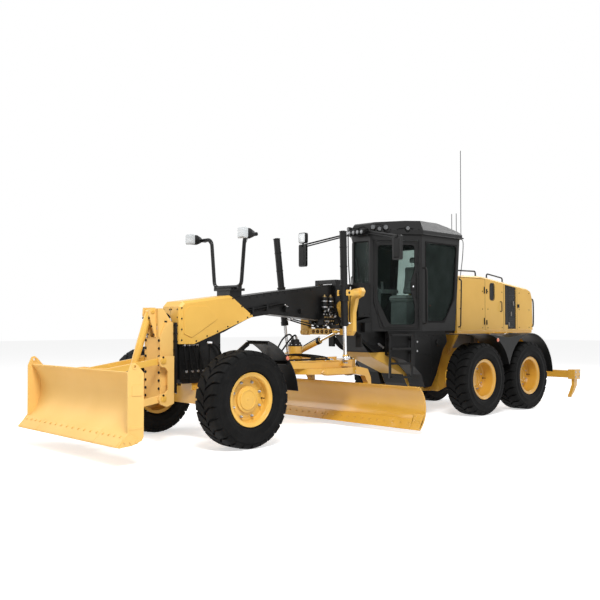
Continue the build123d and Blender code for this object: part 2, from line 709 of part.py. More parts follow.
def lower_arms():
    """Two push arms joined by a tube that carries the cylinder's lugs."""
    near = push_arm(MAST_LOW_PIN, DOZER_LOW_PIN, MAST_X - 85, MAST_X - 36, 55)
    near += x_pin(*MAST_LOW_PIN, MAST_X - 85, MAST_X + 10, MAST_PIN_R)
    near -= x_pin(*DOZER_LOW_PIN, 100, 400, MAST_PIN_R + RUN)
    y, z = DOZER_CYL_EYE
    low = z - 175
    cross = block(-MAST_X + 84, MAST_X - 84, y - 45, y + 45, low, low + 80)
    body = near + mirrored(near) + cross
    for side in (1, -1):
        a, b = sorted((side * 38, side * 60))
        body += block(a, b, y - 45, y + 45, low + 79, z)
        body += x_pin(y, z, a, b, 45)
        a, b = sorted((side * 38, side * 72))
        body += x_pin(y, z, a, b, 22)
    return body


def upper_arms():
    near = push_arm(MAST_HIGH_PIN, DOZER_HIGH_PIN, MAST_X - 85, MAST_X - 36, 50)
    near += x_pin(*MAST_HIGH_PIN, MAST_X - 85, MAST_X + 10, MAST_PIN_R)
    near -= x_pin(*DOZER_HIGH_PIN, 100, 400, MAST_PIN_R + RUN)
    return both(near)


def dozer_blade():
    """A wide blade with a curved mouldboard, end plates, a sloping edge and pin ears behind."""
    top = (DOZER_PLATE_Y, DOZER_TOP_Z)
    low = (DOZER_PLATE_Y - 30, 385)
    mid = (DOZER_PLATE_Y + 130, 740)
    t = DOZER_T
    half = DOZER_HALF - END_PLATE_T
    x0 = -half
    edge = Wire([
        ThreePointArc((x0, *top), (x0, *mid), (x0, *low)),
        Line((x0, *low), (x0, low[0] + t, low[1] - 6)),
        ThreePointArc((x0, low[0] + t, low[1] - 6), (x0, mid[0] + t, mid[1]), (x0, top[0] + t, top[1])),
        Line((x0, top[0] + t, top[1]), (x0, *top)),
    ])
    plate = extrude(make_face(edge), amount=2 * half, dir=(1, 0, 0))
    bowl = Wire([
        ThreePointArc((x0, *top), (x0, mid[0] + t / 2, mid[1]), (x0, *low)),
        Line((x0, *low), (x0, low[0] - 200, low[1])),
        Line((x0, low[0] - 200, low[1]), (x0, top[0] - 230, top[1])),
        Line((x0, top[0] - 230, top[1]), (x0, *top)),
    ])
    free = extrude(make_face(bowl), amount=2 * half, dir=(1, 0, 0))
    body = block(-half, half, -1830, -1640, 400, 470)
    body += block(-half, half, -1795, -1690, 990, 1040)
    (ly, lz), (hy, hz) = DOZER_LOW_PIN, DOZER_HIGH_PIN
    ear = slab_x([
        (-1700, 430), (ly + 20, 440), (ly + 60, lz), (ly + 30, lz + 65), (-1620, 640), (-1620, 900),
        (hy + 30, hz - 60), (hy + 60, hz), (hy + 20, hz + 60), (-1700, 1060),
    ], MAST_X - 108, MAST_X - 93)
    far = ear.moved(Location((80, 0, 0)))
    spine = slab_x([(-1780, 430), (-1690, 430), (-1690, 1060), (-1780, 1030)], MAST_X - 108, MAST_X - 13)
    for piece in (ear, far, spine):
        body += piece
        body += mirrored(piece)
    body -= free
    bevel = slab_x([(low[0] + t, low[1] - 6), (low[0], low[1]), (-1980, 232), (-1960, 228), (low[0] + 50, low[1] - 40)], -half, half)
    end = slab_x([
        (-1800, 1170), (-1760, 1180), (-1720, 1150), (-1640, 1060), (-1640, 330), (-1665, 285), (-1800, 240),
        (-1960, 228), (-1985, 240), (-1850, 385), (-1850, 1060),
    ], half, DOZER_HALF)
    end -= x_pin(-1765, 1135, half - 1, DOZER_HALF + 1, 18)
    body += plate + bevel + end + mirrored(end)
    for side in (1, -1):
        for y, z in (DOZER_LOW_PIN, DOZER_HIGH_PIN):
            body += x_pin(y, z, side * (MAST_X - 100), side * (MAST_X - 20), MAST_PIN_R)
    return body


def dozer_barrels():
    """The lift cylinder's barrel, hung from the mast's ears."""
    top = (0, *DOZER_CYL_TOP)
    eye = (0, *DOZER_CYL_EYE)
    body = shaft(between(top, eye, 20), between(top, eye, DOZER_BARREL_L), 50)
    body += x_pin(*DOZER_CYL_TOP, -88, 88, 20)
    body += x_pin(*DOZER_CYL_TOP, -52, 52, 38)
    body -= shaft(between(top, eye, 60), between(top, eye, DOZER_BARREL_L + 1), 36)
    return body


def dozer_rods():
    """The lift cylinder's rod, with the eye that runs between the lower arms' lugs."""
    top = (0, *DOZER_CYL_TOP)
    eye = (0, *DOZER_CYL_EYE)
    body = shaft(between(eye, top, 20), between(eye, top, DOZER_ROD_L), 26)
    body += shaft(between(eye, top, DOZER_ROD_L - 40), between(eye, top, DOZER_ROD_L), 36 - RUN)
    body += x_pin(*DOZER_CYL_EYE, -32, 32, 44)
    return body


def shift_barrel():
    """The centre-shift cylinder's barrel, from the drawbar towards the link bar."""
    body = shaft(between(SHIFT_BASE, SHIFT_EYE, 75), between(SHIFT_BASE, SHIFT_EYE, 560), 45)
    body += shaft(between(SHIFT_BASE, SHIFT_EYE, 10), between(SHIFT_BASE, SHIFT_EYE, 80), 30)
    x, y, z = SHIFT_BASE
    body += shaft((x, y - 32, z), (x, y + 32, z), 38)
    body += shaft((x, y - 61, z), (x, y + 61, z), 20)
    body -= shaft(between(SHIFT_BASE, SHIFT_EYE, 90), between(SHIFT_BASE, SHIFT_EYE, 561), 32)
    return body


def shift_rod():
    """The centre-shift rod, with the eye that hangs on the link bar's pin."""
    body = shaft(between(SHIFT_EYE, SHIFT_BASE, 36), between(SHIFT_EYE, SHIFT_BASE, 640), 25)
    body += shaft(between(SHIFT_EYE, SHIFT_BASE, 610), between(SHIFT_EYE, SHIFT_BASE, 640), 32 - RUN)
    x, y, z = SHIFT_EYE
    body += shaft((x, y - 25, z), (x, y + 25, z), 46)
    body -= shaft((x, y - 26, z), (x, y + 26, z), 34)
    return body


# Cab

def cab_plan(inset):
    """The cab's outline from above, moved inwards; front post, widest point and rear post on both sides."""
    half = [CAB_FRONT, CAB_SIDE, CAB_REAR]
    ring = half + [(-x, y) for x, y in reversed(half)]
    if inset == 0:
        return ring
    moved = []
    count = len(ring)
    for i in range(count):
        before, here, after = Vector(*ring[i - 1]), Vector(*ring[i]), Vector(*ring[(i + 1) % count])
        a = (here - before).normalized()
        b = (after - here).normalized()
        na, nb = Vector(-a.Y, a.X), Vector(-b.Y, b.X)
        turn = 1 + na.dot(nb)
        moved.append(tuple(here + (na + nb) * (inset / turn))[:2])
    return moved


def door_corners(inset_front, inset_rear):
    """Two points on the cab's door line, measured from the front post and from the side post."""
    a, b = Vector(*CAB_FRONT), Vector(*CAB_SIDE)
    along = (b - a).normalized()
    return a + along * inset_front, b - along * inset_rear, along


def door_solid(side, low, high, front, rear, out, thick, knee):
    """A slab in the door's opening: out is how far its outer face lies inside the cab's plan."""
    a, b, along = door_corners(front, rear)
    normal = Vector(along.Y, -along.X)
    a = a - normal * out
    b = b - normal * out
    length = (b - a).length
    plane = Plane(origin=(a.X, a.Y, 0), x_dir=(along.X, along.Y, 0), z_dir=(normal.X, normal.Y, 0))
    points = [(knee[0], low), (length, low), (length, high), (0, high), (0, low + knee[1])]
    face = make_face(Polyline(*[plane.from_local_coords(Vector(p, q, 0)) for p, q in points], close=True))
    solid = extrude(face, amount=thick, dir=(-normal.X, -normal.Y, 0))
    return solid if side > 0 else mirrored(solid)


POST = 60
DOOR_LOW = 1530
DOOR_HIGH = 3040
DOOR_KNEE = (190, 430)
DOOR_RAIL = 62
GLASS_T = 8


def cab_back(z, inset=0):
    """The leaning rear wall's Y at a height, moved forwards by an inset."""
    rise = CAB_EAVE_Z + 60 - CAB_FLOOR_Z
    return CAB_REAR_LOW_Y + (CAB_REAR[1] - CAB_REAR_LOW_Y) * (z - CAB_FLOOR_Z) / rise - inset


def cab_block(inset, z0, z1):
    """The cab's body between two heights, moved inwards; its rear wall leans back."""
    side = [(3000, z0), (cab_back(z0, inset), z0), (cab_back(z1, inset), z1), (3000, z1)]
    return slab_z(cab_plan(inset), z0, z1) & slab_x(side, -1000, 1000)


def side_window(edge):
    """The rear side window's outline, drawn in by an edge."""
    return [
        (CAB_SIDE[1] + 90 + edge, 1640 + edge), (4860 - edge, 1640 + edge), (cab_back(2050) - 70 - edge, 2050 + edge),
        (cab_back(DOOR_HIGH) - 70 - edge, DOOR_HIGH - edge), (CAB_SIDE[1] + 90 + edge, DOOR_HIGH - edge),
    ]


def door_hinge(side, part):
    """Two hinges at a door's rear edge: pins and lugs on the cab, barrels and straps on the door."""
    a, b, along = door_corners(0, POST - GAP / 2)
    out = Vector(along.Y, -along.X)
    centre = b + out * 20
    body = []
    for z in (1800, 2700):
        if part == "cab":
            piece = shaft((centre.X, centre.Y, z - 40), (centre.X, centre.Y, z + 40), 8)
            for low in (z - 62, z + 41):
                lug = shaft((centre.X, centre.Y, low - 1), (centre.X, centre.Y, low + 22), 15)
                foot = b + along * 30
                lug += slab_z([(centre.X + 10 * out.X, centre.Y + 10 * out.Y), (centre.X - 20 * out.X, centre.Y - 20 * out.Y),
                               (foot.X - 8 * out.X, foot.Y - 8 * out.Y), (foot.X + 14 * out.X, foot.Y + 14 * out.Y)], low, low + 21)
                piece += lug
        else:
            piece = shaft((centre.X, centre.Y, z - 39), (centre.X, centre.Y, z + 39), 15)
            edge = b - along * 40
            piece += slab_z([(centre.X + 10 * out.X, centre.Y + 10 * out.Y), (centre.X - 8 * out.X, centre.Y - 8 * out.Y),
                             (edge.X - 2 * out.X, edge.Y - 2 * out.Y), (edge.X + 12 * out.X, edge.Y + 12 * out.Y)], z - 39, z + 39)
            piece -= shaft((centre.X, centre.Y, z - 60), (centre.X, centre.Y, z + 60), 8 + RUN)
        body.append(piece if side > 0 else mirrored(piece))
    return body


def cab_shell():
    """Floor, posts, lower walls, eaves and roof of the cab, hollow, with every window and door cut."""
    shell = cab_block(0, CAB_FLOOR_Z, CAB_EAVE_Z + 60) - cab_block(CAB_WALL, CAB_FLOOR_Z + 60, CAB_EAVE_Z + 20)
    low = CAB_EAVE_Z + 130
    roof = slab_z(cab_plan(-35), CAB_EAVE_Z + 59, low)
    crown = loft([
        make_face(Polyline(*[(x, y, low) for x, y in cab_plan(-35)], close=True)),
        make_face(Polyline(*[(x, y, CAB_ROOF_Z + 20) for x, y in cab_plan(70)], close=True)),
    ], ruled=True)
    front, rear = CAB_FRONT[1], CAB_REAR[1]
    crown &= slab_x([
        (front - 60, low - 1), (front - 60, low + 70), (front + 90, CAB_ROOF_Z - 30), (front + 500, CAB_ROOF_Z),
        (rear - 620, CAB_ROOF_Z), (rear - 330, CAB_ROOF_Z - 50), (rear - 60, low + 60), (rear + 60, low + 5),
        (rear + 60, low - 1),
    ], -1000, 1000)
    shell = shell + roof + crown
    for side in (1, -1):
        shell -= door_solid(side, DOOR_LOW - GAP, DOOR_HIGH + GAP, POST - GAP, POST - GAP, -60, 60 + CAB_WALL + 40,
                            DOOR_KNEE)
    front_half = CAB_FRONT[0] - 35
    shell -= block(-front_half, front_half, CAB_FRONT[1] - 100, CAB_FRONT[1] + 100, 2300, DOOR_HIGH)
    shell -= block(-front_half, front_half, CAB_FRONT[1] - 100, CAB_FRONT[1] + 100, 1640, 2240)
    rear_half = CAB_REAR[0] - 110
    shell -= block(-rear_half, rear_half, CAB_REAR_LOW_Y - 120, CAB_REAR[1] + 100, 2100, DOOR_HIGH)
    shell -= slab_x(side_window(0), 600, 900)
    shell -= slab_x(side_window(0), -900, -600)
    for side in (1, -1):
        for piece in door_hinge(side, "cab"):
            shell += piece
    return shell


def cab_glass():
    """The fixed panes, each let into its wall."""
    front_half = CAB_FRONT[0] - 35 - 0.5
    y = CAB_FRONT[1] + 20
    panes = [block(-front_half, front_half, y, y + GLASS_T, 2300.5, DOOR_HIGH - 0.5)]
    panes.append(block(-front_half, front_half, y, y + GLASS_T, 1640.5, 2239.5))
    rear_half = CAB_REAR[0] - 110.5
    low, high = 2100.5, DOOR_HIGH - 0.5
    panes.append(slab_x([(cab_back(low, 28), low), (cab_back(low, 20), low), (cab_back(high, 20), high),
                         (cab_back(high, 28), high)], -rear_half, rear_half))
    a, b = Vector(*CAB_SIDE), Vector(*CAB_REAR)
    along = (b - a).normalized()
    normal = Vector(along.Y, -along.X)
    p, q = a - normal * 20, b - normal * 20
    strip = slab_z([(p.X, p.Y), (q.X, q.Y), (q.X - GLASS_T, q.Y), (p.X - GLASS_T, p.Y)], 1500, 3100)
    panes += both(slab_x(side_window(0.5), 500, 900) & strip)
    return panes


def door(side):
    """A cab door: a frame round one tall pane, with a diagonal lower front corner and two hinge barrels."""
    whole = door_solid(side, DOOR_LOW, DOOR_HIGH, POST, POST, 0, DOOR_T, DOOR_KNEE)
    r = DOOR_RAIL
    hole = door_solid(side, DOOR_LOW + r, DOOR_HIGH - r, POST + r, POST + r, -10, DOOR_T + 20,
                      (DOOR_KNEE[0] - r * 0.35, DOOR_KNEE[1] - r * 0.2))
    body = whole - hole
    for piece in door_hinge(side, "door"):
        body += piece
    return body


def door_glass(side):
    r = DOOR_RAIL + 0.4
    return door_solid(side, DOOR_LOW + r, DOOR_HIGH - r, POST + r, POST + r, 15, GLASS_T,
                      (DOOR_KNEE[0] - DOOR_RAIL * 0.35 + 0.2, DOOR_KNEE[1] - DOOR_RAIL * 0.2))


SEAT_Y = CAB_SIDE[1] + 510
SEAT_Z = 2010


def seat():
    """A plain closed cushion, back and headrest."""
    cushion = block(-250, 250, SEAT_Y - 250, SEAT_Y + 250, SEAT_Z, SEAT_Z + 120)
    back = slab_x([(SEAT_Y + 140, SEAT_Z + 121), (SEAT_Y + 250, SEAT_Z + 121), (SEAT_Y + 330, SEAT_Z + 700),
                   (SEAT_Y + 220, SEAT_Z + 700)], -230, 230)
    head = block(-130, 130, SEAT_Y + 235, SEAT_Y + 325, SEAT_Z + 690, SEAT_Z + 860)
    return cushion + block(-230, 230, SEAT_Y + 140, SEAT_Y + 250, SEAT_Z + 119, SEAT_Z + 122) + back + head


def cab_controls():
    """The seat's base, two armrests with levers, and the front console with its screen."""
    floor = CAB_FLOOR_Z + 60
    base = block(-180, 180, SEAT_Y - 180, SEAT_Y + 180, floor, SEAT_Z - RUN)
    parts = [base]
    for side in (1, -1):
        x = side * 330
        arm = block(x - 50, x + 50, SEAT_Y - 300, SEAT_Y + 150, SEAT_Z + 170, SEAT_Z + 240)
        arm += block(x - 30, x + 30, SEAT_Y + 60, SEAT_Y + 120, floor, SEAT_Z + 171)
        arm += shaft((x, SEAT_Y - 240, SEAT_Z + 239), (x, SEAT_Y - 260, SEAT_Z + 380), 22)
        parts.append(arm)
    console = slab_x([(CAB_FRONT[1] + 260, floor), (CAB_FRONT[1] + 400, floor), (CAB_FRONT[1] + 420, 2180),
                      (CAB_FRONT[1] + 330, 2260), (CAB_FRONT[1] + 250, 2180)], -90, 90)
    parts.append(console)
    return parts


# What hangs on the front half

def ladder_line(set_in):
    """Two points on a line beside the ladder's, moved towards the machine's middle."""
    a, b = Vector(*LADDER_A), Vector(*LADDER_B)
    along = (b - a).normalized()
    inward = Vector(-along.Y, along.X)
    return a + inward * set_in, b + inward * set_in, along


def side_tanks():
    """The tanks and skirts under the cab, slanted behind the ladders and tapered to the hitch."""
    outline = [
        (TANK_FRONT_Y, CAB_FLOOR_Z), (5030, CAB_FLOOR_Z), (5090, 1300), (4960, 1150), (4780, 760), (4620, 520),
        (4430, 520), (4340, 740), (4000, 1000), (TANK_FRONT_Y, 1080),
    ]
    a, b, along = ladder_line(TANK_SET_IN)
    front = a + along * ((TANK_FRONT_Y - a.Y) / along.Y)
    outer = a + along * ((TANK_OUTER_X - a.X) / along.X)
    plan = [
        (TANK_INNER_X, TANK_FRONT_Y), (front.X, front.Y), (outer.X, outer.Y), (TANK_OUTER_X, 5200), (TANK_INNER_X, 5200),
    ]
    tank = slab_x(outline, TANK_INNER_X, TANK_OUTER_X) & slab_z(plan, 400, CAB_FLOOR_Z + 1)
    shelf = block(250, TANK_INNER_X + 1, 4000, 4700, 1300, 1360)
    return both(tank + shelf)


def ladder(side):
    """Two rails with rungs below the cab's door, fixed to the slanting face of the tank behind it."""
    a, b, along = ladder_line(0)
    plane = Plane(origin=(a.X, a.Y, 0), x_dir=(along.X, along.Y, 0), z_dir=(0, 0, 1))
    width = (b - a).length
    s = LADDER_TUBE

    def piece(u0, u1, v0, v1, z0, z1):
        middle = plane.from_local_coords(Vector((u0 + u1) / 2, (v0 + v1) / 2, (z0 + z1) / 2))
        turn = degrees(atan2(along.Y, along.X))
        return Pos(*middle) * Rot(0, 0, turn) * Box(u1 - u0, v1 - v0, z1 - z0)

    body = piece(0, s, -20, 20, LADDER_BOTTOM_Z, LADDER_TOP_Z)
    body += piece(width - s, width, -20, 20, LADDER_BOTTOM_Z, LADDER_TOP_Z)
    for z in (LADDER_BOTTOM_Z, 930, 1180, LADDER_TOP_Z - 28):
        body += piece(s - 1, width - s + 1, -60, 60, z, z + 28)
    for u in (0, width - s):
        for z in (1110, 1340):
            body += piece(u, u + s, 19, TANK_SET_IN - 0.1, z, z + 30)
    return body if side > 0 else mirrored(body)


def lamp_bracket(side):
    """The plate on a post's end that carries a lamp."""
    a, b = sorted((side * 600, side * 640))
    return block(a, b, 560, 590, 2870, 2910)


def lamp_posts():
    """A serrated step across the boom and the bent tube that lifts the two front lamps over it."""
    z = 2050
    base = block(-200, 200, 500, 760, z + 52, z + 80)
    base += block(-BOOM_HALF, BOOM_HALF, 520, 740, z - 40, z + 53)
    base -= slab_x([(400, 1960), (400, 1978.94), (1378, 2105), (1378, 1960)], -BOOM_HALF - 1, BOOM_HALF + 1)
    right = bent_tube([(0, 600, z + 106), (310, 600, z + 106), (390, 600, 2888), (650, 600, 2888)], 27, 100)
    right += lamp_bracket(1)
    return [base + right + mirrored(right)]


def work_lamps():
    """Lamps on the posts, and a row of lamps on the roof's front edge."""
    lamps = []
    for side in (1, -1):
        lamps.append(lamp((side * 620, 400, 2890), 75, 160))
    brow = CAB_FRONT[1] - 35
    for x in (-140, -47, 47, 140):
        lamps.append(lamp((x, brow - 110 - SEAT_GAP, CAB_EAVE_Z + 95), 42, 110))
    return lamps


def mirrors():
    """Rear-view mirrors with rounded shells on arms from the cab's brow."""
    parts = []
    root = cab_plan(-35)[0]
    brow = slab_z(cab_plan(-35), CAB_EAVE_Z + 59, CAB_EAVE_Z + 130)
    for side in (1, -1):
        x, y = side * 1085, 3182
        foot = (side * (root[0] - 30), root[1] + 10)
        arm = shaft((*foot, CAB_EAVE_Z + 110), (x, y, 3030), 14)
        arm += shaft((*foot, CAB_EAVE_Z + 80), (x, y, 2990), 12)
        shell = block(x - 90, x + 90, y - 25, y + 25, 2640, 3040)
        arm += fillet(shell.edges().filter_by(Axis.Y), 32)
        parts.append(arm - brow)
    return parts


def antennas():
    """A long whip aerial and two short ones behind the roof, on a bracket."""
    y = CAB_REAR[1] + 80
    bracket = block(480, 780, CAB_REAR[1] + 35, CAB_REAR[1] + 110, CAB_EAVE_Z + 70, CAB_EAVE_Z + 90)
    body = bracket + shaft((740, y, CAB_EAVE_Z + 80), (740, y, 4780), 6)
    for x in (540, 640):
        body += shaft((x, y, CAB_EAVE_Z + 80), (x, y, 3640), 6)
    return body


# Rear half

def tandem_case(side):
    """A tandem's chain case with the two wheel stubs, bolted to the end of the axle housing."""
    first, last = WHEELBASE - TANDEM_SPACING / 2, WHEELBASE + TANDEM_SPACING / 2
    case = slab_x([(first - 230, 560), (first - 120, 440), (last + 120, 440), (last + 230, 560),
                   (last + 230, 740), (last + 120, 840), (first - 120, 840), (first - 230, 740)],
                  side * TANDEM_X - TANDEM_HALF_W, side * TANDEM_X + TANDEM_HALF_W)
    for y in (first, last):
        case += spindle(side, y, TANDEM_X + TANDEM_HALF_W - 1, REAR_DISH, REAR_CAP, REAR_SPINDLE_R)
    return case


def rear_frame():
    """Rails, hitch fork, cross beams, sills and axle housing, with a tandem case at each end of the axle."""
    top = RAIL_Z + RAIL_H
    rail = block(RAIL_X, RAIL_X + RAIL_T, 5450, REAR_END_Y, RAIL_Z, top)
    body = rail + mirrored(rail)
    for y in (5560, 6900, REAR_END_Y - 60):
        body += block(-RAIL_X - 1, RAIL_X + 1, y, y + 60, RAIL_Z, top)
    sill = block(HOOD_HALF - 60, HOOD_HALF, HOOD_FRONT_Y, HOOD_REAR_Y + 20, HOOD_BOTTOM_Z - SILL_H, HOOD_BOTTOM_Z)
    body += sill
    body += mirrored(sill)
    for y in (HOOD_FRONT_Y, 6600, HOOD_REAR_Y - 80):
        wing = slab_y([(RAIL_X + 40, top - 120), (RAIL_X + RAIL_T + 20, top - 120), (HOOD_HALF, HOOD_BOTTOM_Z - SILL_H + 1),
                       (RAIL_X + 40, HOOD_BOTTOM_Z - SILL_H + 1)], y, y + 60)
        body += wing
        body += mirrored(wing)
    head = slab_x([(HITCH_Y + 220, 380), (5560, 460), (5620, RAIL_Z), (5620, 1200), (HITCH_Y + 220, 1310)], -330, 330)
    body += head
    for z0, z1 in ((380, 430 - RUN), (520 + RUN, 580), (1100, 1160 - RUN), (1250 + RUN, 1310)):
        body += block(-110, 110, HITCH_Y, HITCH_Y + 221, z0, z1)
        body += shaft((0, HITCH_Y, z0), (0, HITCH_Y, z1), 110)
    body += shaft((0, HITCH_Y, 380), (0, HITCH_Y, 580), HITCH_PIN_R)
    body += shaft((0, HITCH_Y, 1100), (0, HITCH_Y, 1310), HITCH_PIN_R)
    reach = TANDEM_X - TANDEM_HALF_W - SEAT_GAP
    body += x_pin(WHEELBASE, AXLE_Z, -reach, reach, 170)
    body += block(-RAIL_X - RAIL_T, RAIL_X + RAIL_T, WHEELBASE - 150, WHEELBASE + 150, AXLE_Z + 100, RAIL_Z + 10)
    first, last = WHEELBASE - TANDEM_SPACING / 2, WHEELBASE + TANDEM_SPACING / 2
    for side in (1, -1):
        for y in (first - 60, last - 140, last + 100):
            body += block(side * (HOOD_HALF - 1), side * (HALF_TRACK - TYRE_HALF_W - 10), y, y + 40,
                          HOOD_BOTTOM_Z - SILL_H, HOOD_BOTTOM_Z - SILL_H + 20)
    py, pz = RIPPER_PIVOT
    for x in (218, 306):
        lug = slab_x([(REAR_END_Y - 60, RAIL_Z + 80), (REAR_END_Y - 60, 640), (py, 640), (py + 58, pz), (py + 20, pz + 60),
                      (REAR_END_Y, RAIL_Z + 1), (REAR_END_Y, RAIL_Z + 80)], x, x + 36)
        body += lug
        body += mirrored(lug)
    pin = x_pin(py, pz, 218, 342, 30)
    body += pin
    body += mirrored(pin)
    cy, cz = RIPPER_CYL_TOP
    for x in (52, -74):
        body += slab_x([(REAR_END_Y - 60, top - 1), (REAR_END_Y - 60, top - 160), (cy, cz - 45), (cy + 45, cz), (cy, cz + 45)],
                       x, x + 22)
    body += x_pin(cy, cz, -74, 74, 20)
    return [body, tandem_case(1), tandem_case(-1)]


def engine_block():
    """The engine and its gearbox as one plain mass on the rails."""
    floor = RAIL_Z + RAIL_H
    body = block(-200, 200, 5900, 6501, floor, 1700)
    body += block(-280, 280, 6500, 7600, floor, 2050)
    return body


def hood():
    """A hollow cover over the engine, with bevelled top edges, side grille openings, oval vents and a tail opening."""
    t = HOOD_T
    outer = long_bevels(slab_x(hood_side(0), -HOOD_HALF, HOOD_HALF), HOOD_HALF, 1700, 9000, 26)
    inner = long_bevels(slab_x(hood_side(t), -HOOD_HALF + t, HOOD_HALF - t), HOOD_HALF - t, 1700, 9000, 26)
    body = outer - inner
    for x0, x1 in ((HOOD_HALF - 60, HOOD_HALF + 1), (-HOOD_HALF - 1, -HOOD_HALF + 60)):
        body -= slab_x(HOOD_GRILLE, x0, x1)
        body -= slab_x(HOOD_VENT, x0, x1, 60)
    body -= block(-430, 430, HOOD_REAR_Y - 100, HOOD_REAR_Y + 100, 1540, 2120)
    return body


def hood_grilles():
    """The louvred panels in the hood's sides, the oval vents and the ribbed guard across its tail."""
    edge = 0.5
    grille = [
        (7180 + edge, 1610 + edge), (7280 + edge, 1610 + edge), (7280 + edge, 1530 + edge), (7560 - edge, 1530 + edge),
        (7560 - edge, 2330 - edge), (7180 + edge, 2375 - edge),
    ]
    vent = [(6630 + edge, 2080 + edge), (6790 - edge, 2080 + edge), (6790 - edge, 2400 - edge), (6630 + edge, 2400 - edge)]
    parts = both(grille_panel(grille, 1530, 2375, 7180, 7560, 42))
    parts += both(grille_panel(vent, 2080, 2400, 6630, 6790, 32, 60))
    back = HOOD_REAR_Y + 46
    tail = block(-429.5, 429.5, back, back + 4, 1540.5, 2119.5)
    for i in range(13):
        x = -390 + i * 65
        tail += block(x - 9, x + 9, back + 3, back + 16, 1560, 2100)
    parts.append(tail)
    return parts


def rear_fenders():
    """Two arched mudguards a side that meet over the gap between the wheels, with a web across the valley."""
    parts = []
    first, last = WHEELBASE - TANDEM_SPACING / 2, WHEELBASE + TANDEM_SPACING / 2
    r = REAR_FENDER_R
    valley = degrees(acos(TANDEM_SPACING / 2 / r))
    mid = r - FENDER_T / 2
    for side in (1, -1):
        x0, x1 = sorted((side * (HALF_TRACK - TYRE_HALF_W - 10), side * (HALF_TRACK + TYRE_HALF_W)))
        body = arc_plate(first, r, 89.9, 180 - valley + 0.4, x0, x1, FENDER_T)
        body += block(x0, x1, first - 600, first + 1, AXLE_Z + r - FENDER_T, AXLE_Z + r)
        body += arc_plate(last, r, valley - 0.4, 177, x0, x1, FENDER_T)
        angles = [valley] + list(range(25, 86, 10))
        rise = [(first + mid * cos(radians(a)), AXLE_Z + mid * sin(radians(a))) for a in angles]
        fall = [(last - mid * cos(radians(a)), AXLE_Z + mid * sin(radians(a))) for a in reversed(angles[1:])]
        outer = side * (HALF_TRACK + TYRE_HALF_W)
        body += slab_x(rise + [(WHEELBASE, AXLE_Z + r - 70)] + fall, *sorted((outer, outer - side * FENDER_T)))
        parts.append(body)
    return parts


def hood_top(y):
    """Height of the hood's top at a place along it."""
    if y < HOOD_BREAK_Y:
        return HOOD_TOP_Z - 12 * (HOOD_BREAK_Y - y) / (HOOD_BREAK_Y - HOOD_FRONT_Y + 30)
    return HOOD_TOP_Z + (HOOD_REAR_TOP_Z - HOOD_TOP_Z) * (y - HOOD_BREAK_Y) / (HOOD_REAR_Y - 130 - HOOD_BREAK_Y)


def hood_rails():
    """Two grab rails a side on the hood's top: one on its level part, one on its slope."""
    parts = []
    radius = 14
    for side in (1, -1):
        x = side * (HOOD_HALF - 60)
        for y0, y1 in ((5620, 6230), (6610, 7170)):
            (a, b) = [max(hood_top(y - radius), hood_top(y + radius)) + RUN for y in (y0, y1)]
            parts.append(bent_tube([(x, y0, a), (x, y0, hood_top(y0) + 92), (x, y1, hood_top(y1) + 92), (x, y1, b)], radius, 45))
    return parts


def rear_lamps():
    """Stop and work lamps on the hood's tail."""
    parts = []
    for side in (1, -1):
        x = side * 500
        parts.append(block(x - 40, x + 40, HOOD_REAR_Y + 57, HOOD_REAR_Y + 80, 1600, 1760))
    return parts


# Ripper

def ripper():
    """A frame on the rear frame's pivots, with a cross beam and a shank at each end."""
    py, pz = RIPPER_PIVOT
    half = RIPPER_BEAM_S / 2
    by, bz = RIPPER_BEAM_Y, RIPPER_BEAM_Z
    body = block(-RIPPER_HALF, RIPPER_HALF, by - half, by + half, bz - half, bz + half)
    for side in (1, -1):
        x0, x1 = sorted((side * 260, side * 300))
        arm = slab_x([(py - 40, pz - 50), (py + 40, pz - 70), (by - half + 1, bz - 60),
                      (by - half + 1, bz + 60), (py + 20, pz + 60), (py - 40, pz + 50)], x0, x1)
        arm -= x_pin(py, pz, x0 - 1, x1 + 1, 30 + RUN)
        body += arm
        tip_x = side * (RIPPER_HALF - 75)
        body += block(tip_x - 75, tip_x + 75, by - 120, by + 120, bz - 100, bz + 100)
        shank = slab_x([
            (by - 60, 470), (by + 70, 470), (by + 60, 330), (by - 60, 190), (by - 210, 95), (by - 225, 110),
            (by - 130, 210), (by - 60, 330),
        ], tip_x - 30, tip_x + 30)
        body += shank
        a, b = sorted((side * 52, side * 74))
        ey, ez = RIPPER_CYL_EYE
        body += slab_x([(by - half, bz), (by, bz), (by, bz + half), (ey + 45, ez), (ey, ez + 45), (ey - 45, ez)], a, b)
    return body + x_pin(*RIPPER_CYL_EYE, -74, 74, 20)


def ripper_barrel():
    """The ripper's lift cylinder, hung from the rear frame."""
    top = (0, *RIPPER_CYL_TOP)
    eye = (0, *RIPPER_CYL_EYE)
    body = shaft(between(top, eye, 25), between(top, eye, 500), 46)
    body += x_pin(*RIPPER_CYL_TOP, -48, 48, 42)
    body -= x_pin(*RIPPER_CYL_TOP, -49, 49, 20 + RUN)
    body -= shaft(between(top, eye, 62), between(top, eye, 501), 33)
    return body


def ripper_rod():
    """The ripper cylinder's rod, with its eye on the beam's pin."""
    top = (0, *RIPPER_CYL_TOP)
    eye = (0, *RIPPER_CYL_EYE)
    body = shaft(between(eye, top, 36), between(eye, top, 520), 24)
    body += shaft(between(eye, top, 490), between(eye, top, 520), 33 - RUN)
    body += x_pin(*RIPPER_CYL_EYE, -48, 48, 44)
    body -= x_pin(*RIPPER_CYL_EYE, -49, 49, 32)
    return body


def long_bevels(body, half, low, back, size):
    """Bevels the edges of both flanks above a height and ahead of a place."""
    edges = [
        edge for edge in body.edges()
        if abs(abs(edge.center().X) - half) < 0.1 and min(v.Z for v in edge.vertices()) > low and edge.center().Y < back
    ]
    return chamfer(edges, size)


